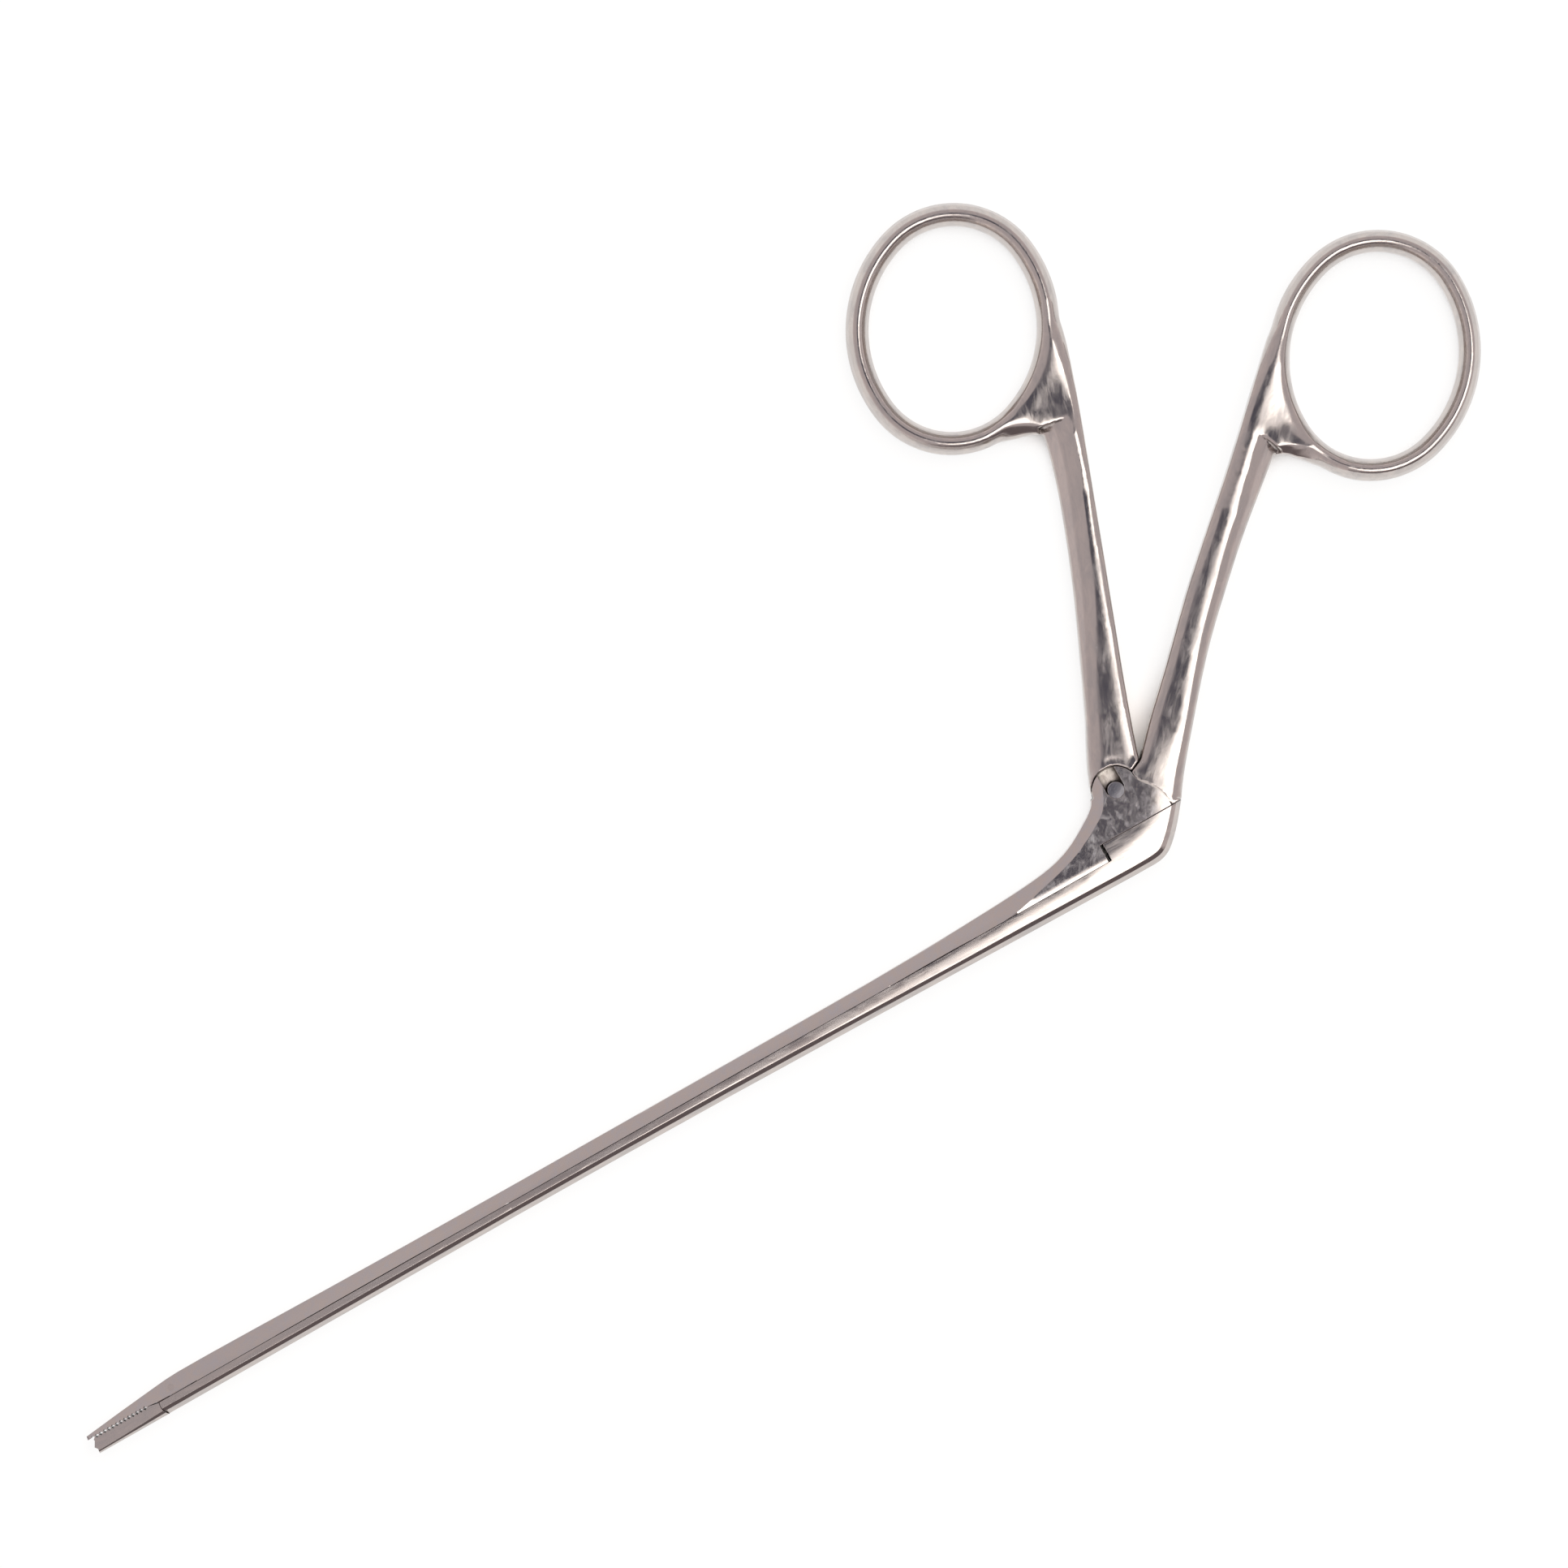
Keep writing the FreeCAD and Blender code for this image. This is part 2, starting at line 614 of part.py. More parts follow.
def lower_jaw():
    x, y = link_at
    px, py = jaw_pivot
    top = jaw_line_y - jaw_gap
    heel_top = seam_y - seam_gap
    teeth_end = tooth_first_x + tooth_pitch * tooth_count
    points = jaw_nose + [(x, jaw_depth_y), (x, heel_top), (jaw_root_x, heel_top), (teeth_end, top)]
    body = polygon(points, -half, half).common(rod_envelope())
    tops = [half_thick(p[0]) for p in jaw_edge]
    body = cut_all(body, both_faces(bevel_cutter(jaw_edge, 1, tops, jaw_slope, 0.0, True)))
    body = cut_all(body, teeth(top, -1))
    body = body.cut(disc(link_at, knuckle_r + knuckle_gap, -half, half))
    t = jaw_tongue_thick / 2
    pad = jaw_tongue_r
    front = jaw_root_x - heel_overlap
    heel = [heel_shoulder(pad), (jaw_root_x + side_gap, seam_y), (front, heel_top),
            (front, jaw_depth_y + heel_rise), (x, y - pad), (x + pad, y), (px + pad, py)]
    body = body.multiFuse([polygon(heel, -t, t), disc(jaw_pivot, pad, -t, t), disc(link_at, pad, -t, t)])
    body = body.cut(disc(jaw_pivot, jaw_pin_r + link_hole_gap, -half, half))
    return body.cut(link_slot()).removeSplitter()


def link_slot():
    # Slot in the jaw's heel for the link pin, along the line from the link to the hinge
    r = jaw_pin_r + link_hole_gap
    aim = math.degrees(math.atan2(jaw_pivot[1] - link_at[1], jaw_pivot[0] - link_at[0]))
    slot = Part.makeBox(link_play, 2 * r, 2 * half, V(0, -r, -half))
    slot = slot.multiFuse([disc((0, 0), r, -half, half), disc((link_play, 0), r, -half, half)])
    slot.rotate(V(0, 0, 0), V(0, 0, 1), aim)
    slot.translate(flat(link_at))
    return slot


def jaw_pin(centre, blank):
    # Pin with its ends polished flush with the sides of the rod that holds it
    return disc(centre, jaw_pin_r, -half, half).common(blank)


def main():
    os.makedirs("parts", exist_ok=True)
    nodes = {
        "frame_rod": frame_rod(),
        "rear_handle": rear_handle(),
        "front_handle": front_handle(),
        "slide_rod": slide_rod(),
        "lower_jaw": lower_jaw(),
        "handle_pivot_pin": disc((0, 0), pivot_pin_r, -half, half),
        "drive_pin": disc(drive_at, drive_pin_r, -drive_pin_len / 2, drive_pin_len / 2),
        "jaw_pivot_pin": jaw_pin(jaw_pivot, fixed_blank()),
        "jaw_link_pin": jaw_pin(link_at, slide_blank()),
    }
    for name, x in stud_xs.items():
        nodes[name] = guide_stud(x)
    for name, shape in nodes.items():
        shape.translate(V(0, 0, half))
        print(name, shape.ShapeType, len(shape.Solids), shape.isValid(), round(shape.Volume, 2))
        shape.exportStep(os.path.join("parts", name + ".step"))


main()
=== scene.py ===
"""Ear forceps with finger rings, in polished surgical steel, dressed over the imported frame."""

import logging
import math
from dataclasses import dataclass, field
from enum import Enum
from typing import Callable, Dict, List, Optional, Sequence, Tuple

import bmesh
import bpy
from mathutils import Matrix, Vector
from mathutils.kdtree import KDTree


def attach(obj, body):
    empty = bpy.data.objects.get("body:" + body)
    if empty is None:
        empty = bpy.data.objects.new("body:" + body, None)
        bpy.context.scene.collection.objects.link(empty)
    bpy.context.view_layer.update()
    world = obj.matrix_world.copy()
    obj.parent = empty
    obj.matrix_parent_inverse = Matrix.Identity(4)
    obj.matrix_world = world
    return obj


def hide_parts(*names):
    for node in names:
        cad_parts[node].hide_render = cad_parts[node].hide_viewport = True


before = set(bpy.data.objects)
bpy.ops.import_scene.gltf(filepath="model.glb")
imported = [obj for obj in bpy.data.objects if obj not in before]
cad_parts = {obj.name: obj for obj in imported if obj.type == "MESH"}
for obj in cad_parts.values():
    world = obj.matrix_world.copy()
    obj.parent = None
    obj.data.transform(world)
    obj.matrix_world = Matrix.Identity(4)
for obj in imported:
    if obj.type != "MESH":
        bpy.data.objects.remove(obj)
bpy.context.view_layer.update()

LOG = logging.getLogger("ear_forceps")
MM = 0.001
THICKNESS = 5.6
MIDDLE = THICKNESS / 2
ALONG_SHAFT = Vector((1.0, 0.0, 0.0))
ACROSS_SHAFT = Vector((0.0, 1.0, 0.0))
SHAFT_TURN = 29.65
LOCK_OUTWARD = Vector((math.cos(math.radians(-SHAFT_TURN)), math.sin(math.radians(-SHAFT_TURN)), 0.0))
Colour = Tuple[float, float, float]


class Body(Enum):
    """The moving bodies of the forceps."""

    FRAME = "frame"
    LEVER = "lever"
    SLIDE = "slide"
    JAW = "jaw"


class Slot(Enum):
    """The finish slots of the record."""

    POLISHED = "polished_steel"
    PIN = "pin_steel"


# ---------------------------------------------------------------- shader groups


@dataclass
class GroupMaker:
    """Builds one shader node group with named inputs and outputs.

    Attributes:
        name: Name of the group.
    """

    name: str
    tree: bpy.types.ShaderNodeTree = field(init=False)
    entry: bpy.types.Node = field(init=False)
    exit: bpy.types.Node = field(init=False)

    def __post_init__(self) -> None:
        """Makes the empty tree."""
        self.tree = bpy.data.node_groups.new(self.name, "ShaderNodeTree")
        self.entry = self.tree.nodes.new("NodeGroupInput")
        self.exit = self.tree.nodes.new("NodeGroupOutput")

    def input(self, name: str, kind: str, value: Optional[float] = None) -> None:
        """Adds an input.

        Args:
            name: Name of the socket.
            kind: Socket type, such as NodeSocketFloat.
            value: Default of a number socket.
        """
        socket = self.tree.interface.new_socket(name=name, in_out="INPUT", socket_type=kind)
        if value is not None:
            socket.default_value = value

    def output(self, name: str, kind: str) -> None:
        """Adds an output socket of that name and type."""
        self.tree.interface.new_socket(name=name, in_out="OUTPUT", socket_type=kind)


def add_node(tree: bpy.types.NodeTree, kind: str, **values: object) -> bpy.types.Node:
    """Adds a node and sets its properties.

    Args:
        tree: Tree that takes the node.
        kind: Blender's type name of the node.
        values: Properties of the node by name.

    Returns:
        The new node.
    """
    node = tree.nodes.new(kind)
    for name, value in values.items():
        setattr(node, name, value)
    return node


def wire(tree: bpy.types.NodeTree, source: bpy.types.NodeSocket,
         target: bpy.types.NodeSocket) -> None:
    """Links two sockets."""
    tree.links.new(source, target)


def calculate(tree: bpy.types.NodeTree, operation: str, first: object, second: object = None,
              clamp: bool = False) -> bpy.types.NodeSocket:
    """Adds a Math node.

    Args:
        tree: Tree that takes the node.
        operation: Name of the operation.
        first: Socket or number.
        second: Socket or number.
        clamp: Whether the result stays between 0 and 1.

    Returns:
        The node's result socket.
    """
    node = add_node(tree, "ShaderNodeMath", operation=operation, use_clamp=clamp)
    for place, value in enumerate((first, second)):
        if isinstance(value, bpy.types.NodeSocket):
            wire(tree, value, node.inputs[place])
        elif value is not None:
            node.inputs[place].default_value = value
    return node.outputs[0]


def mix_colours(tree: bpy.types.NodeTree, share: bpy.types.NodeSocket, first: object,
                second: object) -> bpy.types.NodeSocket:
    """Mixes two colours.

    Args:
        tree: Tree that takes the node.
        share: Share of the second colour.
        first: Socket or colour.
        second: Socket or colour.

    Returns:
        The mixed colour's socket.
    """
    node = add_node(tree, "ShaderNodeMix", data_type="RGBA")
    for name, value in (("A", first), ("B", second)):
        socket = [s for s in node.inputs if s.name == name and s.type == "RGBA"][0]
        if isinstance(value, bpy.types.NodeSocket):
            wire(tree, value, socket)
        else:
            socket.default_value = (*value, 1.0)
    wire(tree, share, node.inputs[0])
    return [s for s in node.outputs if s.type == "RGBA"][0]


def noise(tree: bpy.types.NodeTree, place: bpy.types.NodeSocket, scale: float, detail: float = 3.0,
          roughness: float = 0.55, distortion: float = 0.0) -> bpy.types.Node:
    """Adds a noise texture.

    Args:
        tree: Tree that takes the node.
        place: Socket of the coordinates.
        scale: Scale of the noise.
        detail: Number of finer layers.
        roughness: Strength of the finer layers.
        distortion: How much it is warped.

    Returns:
        The node.
    """
    node = add_node(tree, "ShaderNodeTexNoise", noise_dimensions="3D")
    node.inputs["Scale"].default_value = scale
    node.inputs["Detail"].default_value = detail
    node.inputs["Roughness"].default_value = roughness
    node.inputs["Distortion"].default_value = distortion
    wire(tree, place, node.inputs["Vector"])
    return node


def along_piece(maker: GroupMaker, share: float) -> bpy.types.NodeSocket:
    """Turns the coordinates along the piece and stretches them that way.

    Args:
        maker: The group, with inputs Vector, Turn and Stretch.
        share: Share of the group's stretch that this pattern gets.

    Returns:
        The coordinates in millimetres.
    """
    tree = maker.tree
    turn = add_node(tree, "ShaderNodeVectorRotate", rotation_type="Z_AXIS")
    wire(tree, maker.entry.outputs["Vector"], turn.inputs["Vector"])
    wire(tree, maker.entry.outputs["Turn"], turn.inputs["Angle"])
    metric = add_node(tree, "ShaderNodeCombineXYZ")
    longer = calculate(tree, "MULTIPLY", maker.entry.outputs["Stretch"], share)
    wire(tree, calculate(tree, "DIVIDE", 1 / MM, longer), metric.inputs["X"])
    for axis in ("Y", "Z"):
        metric.inputs[axis].default_value = 1 / MM
    scaled = add_node(tree, "ShaderNodeVectorMath", operation="MULTIPLY")
    wire(tree, turn.outputs[0], scaled.inputs[0])
    wire(tree, metric.outputs[0], scaled.inputs[1])
    return scaled.outputs[0]


def polish_grain_group() -> bpy.types.ShaderNodeTree:
    """Fine lines that the polishing wheel leaves, long in one direction.

    Returns:
        A group with Lines and Scratches, both 0 to 1.
    """
    maker = GroupMaker("polish_grain")
    maker.input("Vector", "NodeSocketVector")
    maker.input("Turn", "NodeSocketFloat", 0.0)
    maker.input("Stretch", "NodeSocketFloat", 3.0)
    maker.output("Lines", "NodeSocketFloat")
    maker.output("Scratches", "NodeSocketFloat")
    tree = maker.tree
    lines = noise(tree, along_piece(maker, 5.0), scale=9.0, detail=4.0, roughness=0.65)
    wire(tree, lines.outputs["Fac"], maker.exit.inputs["Lines"])
    scratch = noise(tree, along_piece(maker, 3.0), scale=5.0, detail=2.0)
    ridge = calculate(tree, "SUBTRACT", scratch.outputs["Fac"], 0.58)
    wire(tree, calculate(tree, "MULTIPLY", ridge, 6.0, clamp=True), maker.exit.inputs["Scratches"])
    return tree


def hand_mottle_group() -> bpy.types.ShaderNodeTree:
    """Uneven tone and level of hand polished steel.

    Returns:
        A group with Patches, Level and Swells, each 0 to 1.
    """
    maker = GroupMaker("hand_mottle")
    maker.input("Vector", "NodeSocketVector")
    maker.input("Turn", "NodeSocketFloat", 0.0)
    maker.input("Stretch", "NodeSocketFloat", 3.0)
    maker.input("Contrast", "NodeSocketFloat", 3.0)
    maker.output("Patches", "NodeSocketFloat")
    maker.output("Level", "NodeSocketFloat")
    maker.output("Swells", "NodeSocketFloat")
    tree = maker.tree
    patch = noise(tree, along_piece(maker, 0.7), scale=0.9, detail=6.0, roughness=0.68, distortion=0.6)
    centred = calculate(tree, "SUBTRACT", patch.outputs["Fac"], 0.5)
    strong = calculate(tree, "MULTIPLY", centred, maker.entry.outputs["Contrast"])
    wire(tree, calculate(tree, "ADD", strong, 0.36, clamp=True), maker.exit.inputs["Patches"])
    level = noise(tree, along_piece(maker, 0.8), scale=0.5, detail=2.0, roughness=0.45, distortion=0.2)
    wire(tree, level.outputs["Fac"], maker.exit.inputs["Level"])
    swell = noise(tree, along_piece(maker, 1.4), scale=0.22, detail=1.0)
    wire(tree, swell.outputs["Fac"], maker.exit.inputs["Swells"])
    return tree


def crevice_shade_group() -> bpy.types.ShaderNodeTree:
    """Finds the narrow hollows by ambient occlusion, where the finishes paint shade.

    Returns:
        A group with the mask of the painted shade in hollows, 0 to 1.
    """
    maker = GroupMaker("crevice_shade")
    maker.input("Vector", "NodeSocketVector")
    maker.input("Reach", "NodeSocketFloat", 0.0008)
    maker.output("PaintedShade", "NodeSocketFloat")
    tree = maker.tree
    # Painted shade: ambient occlusion finds the hollows, which the finishes then darken as if shade fell
    # there.
    closed = add_node(tree, "ShaderNodeAmbientOcclusion", samples=6)
    wire(tree, maker.entry.outputs["Reach"], closed.inputs["Distance"])
    uneven = noise(tree, maker.entry.outputs["Vector"], scale=1800.0)
    hidden = calculate(tree, "SUBTRACT", 0.80, closed.outputs["AO"])
    hidden = calculate(tree, "MULTIPLY", hidden, 2.6, clamp=True)
    share = calculate(tree, "ADD", calculate(tree, "MULTIPLY", uneven.outputs["Fac"], 0.6), 0.6)
    wire(tree, calculate(tree, "MULTIPLY", hidden, share, clamp=True), maker.exit.inputs["PaintedShade"])
    return tree


# ---------------------------------------------------------------- finishes


@dataclass(frozen=True)
class SteelFinish:
    """Polished surgical steel.

    Attributes:
        name: Name of the material.
        pale: Colour of the clean metal.
        dull: Colour of the mottled patches.
        painted_shade: Colour of the painted shade in the hollows.
        roughness: Roughness of the clean metal.
        dull_roughness: Roughness of the patches.
        scratch_roughness: What the scratches add to it.
        crevice_roughness: What the hollows add to it.
        turn: Direction of the polishing lines in degrees from X.
        stretch: How much longer the patches are along the piece than across.
        contrast: Contrast of the patches.
        level: Height of the small unevenness, in millimetres.
        swell: Height of the long unevenness, in millimetres.
        grain: Depth of the polishing lines, in millimetres.
    """

    name: str
    pale: Colour = (0.60, 0.545, 0.515)
    dull: Colour = (0.50, 0.47, 0.46)
    painted_shade: Colour = (0.055, 0.04, 0.035)
    roughness: float = 0.10
    dull_roughness: float = 0.26
    scratch_roughness: float = 0.06
    crevice_roughness: float = 0.3
    turn: float = 0.0
    stretch: float = 3.0
    contrast: float = 3.2
    level: float = 0.007
    swell: float = 0.02
    grain: float = 0.0006

    def make(self, groups: Dict[str, bpy.types.ShaderNodeTree]) -> bpy.types.Material:
        """Builds the material.

        Args:
            groups: The shared node groups by name.

        Returns:
            The material.
        """
        made = bpy.data.materials.new(self.name)
        made.use_nodes = True
        tree = made.node_tree
        shader = tree.nodes["Principled BSDF"]
        shader.inputs["Metallic"].default_value = 1.0
        place = add_node(tree, "ShaderNodeTexCoord").outputs["Object"]
        grain = self._group(tree, groups["polish_grain"], place)
        mottle = self._group(tree, groups["hand_mottle"], place)
        for node in (grain, mottle):
            node.inputs["Turn"].default_value = math.radians(-self.turn)
            node.inputs["Stretch"].default_value = self.stretch
        mottle.inputs["Contrast"].default_value = self.contrast
        # Painted shade: the colour goes nearly black in the hollows that ambient occlusion finds.
        crevice = self._group(tree, groups["crevice_shade"], place)
        tone = mix_colours(tree, mottle.outputs["Patches"], self.pale, self.dull)
        tone = mix_colours(tree, crevice.outputs["PaintedShade"], tone, self.painted_shade)
        wire(tree, tone, shader.inputs["Base Color"])
        spread = self.dull_roughness - self.roughness
        rough = calculate(tree, "MULTIPLY", mottle.outputs["Patches"], spread)
        rough = calculate(tree, "ADD", rough, self.roughness)
        scratched = calculate(tree, "MULTIPLY", grain.outputs["Scratches"], self.scratch_roughness)
        rough = calculate(tree, "ADD", rough, scratched)
        crevice_rough = calculate(tree, "MULTIPLY", crevice.outputs["PaintedShade"], self.crevice_roughness)
        rough = calculate(tree, "ADD", rough, crevice_rough, clamp=True)
        wire(tree, rough, shader.inputs["Roughness"])
        first = self._bump(tree, mottle.outputs["Swells"], self.swell, None)
        second = self._bump(tree, mottle.outputs["Level"], self.level, first)
        third = self._bump(tree, grain.outputs["Lines"], self.grain, second)
        wire(tree, third, shader.inputs["Normal"])
        return made

    @staticmethod
    def _group(tree: bpy.types.NodeTree, group: bpy.types.ShaderNodeTree,
               place: bpy.types.NodeSocket) -> bpy.types.Node:
        """Places a shared group and feeds it the coordinates.

        Args:
            tree: Tree that takes the node.
            group: The group.
            place: Socket of the coordinates.

        Returns:
            The group's node.
        """
        node = add_node(tree, "ShaderNodeGroup", node_tree=group)
        wire(tree, place, node.inputs["Vector"])
        return node

    @staticmethod
    def _bump(tree: bpy.types.NodeTree, height: bpy.types.NodeSocket, depth: float,
              before: Optional[bpy.types.NodeSocket]) -> bpy.types.NodeSocket:
        """Adds a Bump node.

        Args:
            tree: Tree of the material.
            height: Height from 0 to 1.
            depth: What a height of 1 is, in millimetres.
            before: Normal of the bump under this one.

        Returns:
            The normal.
        """
        node = add_node(tree, "ShaderNodeBump")
        node.inputs["Strength"].default_value = 1.0
        node.inputs["Distance"].default_value = depth * MM
        wire(tree, height, node.inputs["Height"])
        if before is not None:
            wire(tree, before, node.inputs["Normal"])
        return node.outputs[0]


# ---------------------------------------------------------------- making meshes


def merged_copy(node: str) -> bmesh.types.BMesh:
    """Copies a solid's mesh from the frame, in millimetres, with its doubles merged.

    Args:
        node: Name of the solid.

    Returns:
        The welded mesh.
    """
    made = bmesh.new()
    made.from_mesh(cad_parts[node].data)
    bmesh.ops.scale(made, vec=(1 / MM,) * 3, verts=made.verts)
    bmesh.ops.remove_doubles(made, verts=made.verts, dist=0.002)
    return made


def flat_faced_copy(node: str) -> bmesh.types.BMesh:
    """Copies a solid's mesh as merged_copy does, and joins the triangles of each flat face.

    Args:
        node: Name of the solid.

    Returns:
        The mesh, in millimetres.
    """
    made = merged_copy(node)
    bmesh.ops.dissolve_limit(made, angle_limit=math.radians(0.05), use_dissolve_boundaries=False,
                             verts=made.verts, edges=made.edges)
    return made


def clamped(value: float) -> float:
    """Keeps a share between 0 and 1."""
    return max(0.0, min(1.0, value))


def lower(vert: bmesh.types.BMVert, drop: float) -> None:
    """Lowers a vertex of either broad face towards the middle plane, by that many millimetres."""
    vert.co.z -= drop * (vert.co.z - MIDDLE) / MIDDLE


def remeshed(made: bmesh.types.BMesh, voxel: float) -> bmesh.types.BMesh:
    """Gives a closed mesh an even skin of small faces.

    Args:
        made: Mesh in millimetres, which is freed.
        voxel: Size of a face in millimetres.

    Returns:
        The new mesh.
    """
    skin = bpy.data.meshes.new("skin")
    made.to_mesh(skin)
    made.free()
    holder = bpy.data.objects.new("skin", skin)
    bpy.context.scene.collection.objects.link(holder)
    change = holder.modifiers.new("even skin", "REMESH")
    change.mode = "VOXEL"
    change.voxel_size = voxel
    change.adaptivity = 0.0
    result = bmesh.new()
    result.from_object(holder, bpy.context.evaluated_depsgraph_get())
    bpy.data.objects.remove(holder)
    bpy.data.meshes.remove(skin)
    return result


def ease(made: bmesh.types.BMesh, verts: Sequence[bmesh.types.BMVert], rounds: int) -> None:
    """Smooths some vertices a number of times, as polishing rounds an edge."""
    for _ in range(rounds):
        bmesh.ops.smooth_vert(made, verts=verts, factor=0.5, use_axis_x=True, use_axis_y=True,
                              use_axis_z=True)


@dataclass(frozen=True)
class Melt:
    """A round zone whose forms run into each other.

    Attributes:
        centre: Middle of the zone in the plane of the forceps, in millimetres.
        inner: Distance up to which the full smoothing holds.
        outer: Distance at which it ends.
        rounds: How often the inner zone is smoothed.
    """

    centre: Tuple[float, float]
    inner: float
    outer: float
    rounds: int

    def apply(self, made: bmesh.types.BMesh) -> None:
        """Smooths the zone, less and less towards its rim."""
        middle = Vector(self.centre)
        near = [(vert, (vert.co.xy - middle).length) for vert in made.verts]
        near = [(vert, far) for vert, far in near if far < self.outer]
        for step in range(self.rounds):
            reach = self.outer - (self.outer - self.inner) * step / self.rounds
            ease(made, [vert for vert, far in near if far < reach], 1)


@dataclass(frozen=True)
class Lean:
    """A round zone whose faces lean a little to one side, where the wheel has taken more off.

    Attributes:
        centre: Middle of the zone in the plane of the forceps, in millimetres.
        radius: Radius of the zone, in millimetres.
        slope: Slope in its middle.
        heading: Direction in which it falls, in degrees from X.
        start: Where it starts, as a share of the radius before the middle.
    """

    centre: Tuple[float, float]
    radius: float = 6.5
    slope: float = 0.055
    heading: float = -58.65
    start: float = 0.7

    def apply(self, made: bmesh.types.BMesh) -> None:
        """Lowers the zone's faces towards the middle plane."""
        turn = math.radians(self.heading)
        middle, way = Vector(self.centre), Vector((math.cos(turn), math.sin(turn)))
        for vert in made.verts:
            from_middle = vert.co.xy - middle
            share = 1.0 - from_middle.length_squared / self.radius ** 2
            if share > 0.0:
                lower(vert, max(0.0, self.slope * (from_middle.dot(way) + self.radius * self.start) * share))


@dataclass(frozen=True)
class Crown:
    """Roundness of hand polished flats, which fall off towards their edges.

    Attributes:
        fall: How much lower an edge is than the middle, in millimetres.
        reach: Distance from an edge at which the fall starts, in millimetres.
        rim: Upright shares of the normal between which a place belongs to an edge.
    """

    fall: float = 0.10
    reach: float = 1.5
    rim: Tuple[float, float] = (0.3, 0.93)

    def apply(self, made: bmesh.types.BMesh, held: Callable[[Vector], float]) -> None:
        """Lowers the edges of the broad faces.

        Args:
            made: Mesh of small faces, in millimetres.
            held: Share of the fall at a place, from 0 to 1.
        """
        made.normal_update()
        low, high = self.rim
        rims = [vert.co.copy() for vert in made.verts if low < abs(vert.normal.z) < high]
        tree = KDTree(len(rims))
        for number, place in enumerate(rims):
            tree.insert(place, number)
        tree.balance()
        for vert in made.verts:
            share = 1.0
            if abs(vert.normal.z) > high:
                far = tree.find(vert.co)[2] or 0.0
                share = max(0.0, 1.0 - far / self.reach) ** 2
            height = (vert.co.z - MIDDLE) / MIDDLE
            vert.co.z -= self.fall * share * height * held(vert.co)


@dataclass(frozen=True)
class LockFall:
    """Gentle fall of the lock's faces towards its outer side, shared by the pieces that meet there.

    Attributes:
        start: Distance from the pivot at which it starts, in millimetres.
        strength: Fall per square millimetre.
    """

    start: float = 3.6
    strength: float = 0.012

    def apply(self, made: bmesh.types.BMesh, share: Callable[[Vector], float] = lambda place: 1.0) -> None:
        """Lowers the vertices beyond the start.

        Args:
            made: Mesh in millimetres.
            share: Share of the fall at a place, from 0 to 1.
        """
        for vert in made.verts:
            beyond = vert.co.dot(LOCK_OUTWARD) - self.start
            if beyond > 0.0:
                lower(vert, self.strength * beyond * beyond * share(vert.co))


def rows(made: bmesh.types.BMesh, axis: Vector, start: float, stop: float, step: float) -> None:
    """Divides the faces of a mesh along even lines, so that they can be bent.

    Args:
        made: Mesh in millimetres.
        axis: Direction across the lines.
        start: First line.
        stop: Last line.
        step: Distance between the lines.
    """
    place = start
    while place < stop:
        bmesh.ops.bisect_plane(made, geom=made.verts[:] + made.edges[:] + made.faces[:], dist=0.001,
                               plane_co=axis * place, plane_no=axis)
        place += step


@dataclass(frozen=True)
class EasedEdge:
    """Narrow rounding of a solid's sharp edges.

    Attributes:
        width: Width of the rounding, in millimetres.
        segments: Faces across it.
        sharpest: Angle from which an edge is rounded, in degrees.
        shortest: Shorter edges are left alone, in millimetres.
    """

    width: float = 0.06
    segments: int = 2
    sharpest: float = 24.0
    shortest: float = 0.12

    def apply(self, made: bmesh.types.BMesh, wanted: Callable[[Vector], bool]) -> None:
        """Rounds the convex edges that are wanted.

        Args:
            made: Mesh in millimetres.
            wanted: Says by its middle whether an edge is rounded.
        """
        limit = math.radians(self.sharpest)
        chosen = []
        for edge in made.edges:
            if not edge.is_manifold or not edge.is_convex or edge.calc_length() < self.shortest:
                continue
            if edge.calc_face_angle(0.0) > limit and wanted((edge.verts[0].co + edge.verts[1].co) / 2):
                chosen.append(edge)
        bmesh.ops.bevel(made, geom=chosen, offset=self.width, offset_type="OFFSET",
                        segments=self.segments, profile=0.5, affect="EDGES", clamp_overlap=False,
                        material=-1, loop_slide=True)


@dataclass
class Piece:
    """One visible piece of the forceps.

    Attributes:
        name: Name of the piece.
        body: Body that it rides on.
        slot: Slot of its finish, not used.
        stands_for: Solids of the frame that it replaces.
    """

    name: str
    body: Body
    slot: Slot
    stands_for: Sequence[str] = ()

    def place(self, made: bmesh.types.BMesh, materials: Sequence[bpy.types.Material],
              crisp: Optional[float] = None) -> bpy.types.Object:
        """Turns a mesh in millimetres into the finished piece.

        Args:
            made: The mesh, which is freed.
            materials: Materials by the index of the faces.
            crisp: Angle in degrees from which edges are shaded sharp, if any is.

        Returns:
            The piece, which rides on its body.
        """
        for vert in made.verts:
            vert.co.z = max(0.0, min(THICKNESS, vert.co.z))
        bmesh.ops.scale(made, vec=(MM,) * 3, verts=made.verts)
        loose = sum(not edge.is_manifold for edge in made.edges)
        for face in made.faces:
            face.smooth = True
        if crisp is not None:
            for edge in made.edges:
                edge.smooth = not edge.is_manifold or edge.calc_face_angle(0.0) < math.radians(crisp)
        mesh = bpy.data.meshes.new(self.name)
        made.to_mesh(mesh)
        made.free()
        for material in materials:
            mesh.materials.append(material)
        piece = bpy.data.objects.new(self.name, mesh)
        bpy.context.scene.collection.objects.link(piece)
        if crisp is not None:
            shade = piece.modifiers.new("flat faces stay flat", "WEIGHTED_NORMAL")
            shade.keep_sharp = True
            shade.weight = 90
        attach(piece, self.body.value)
        if self.stands_for:
            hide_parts(*self.stands_for)
        LOG.info("%s: %d faces on %s, %d open edges", self.name, len(mesh.polygons), self.body.value, loose)
        return piece


# ---------------------------------------------------------------- sub-assemblies


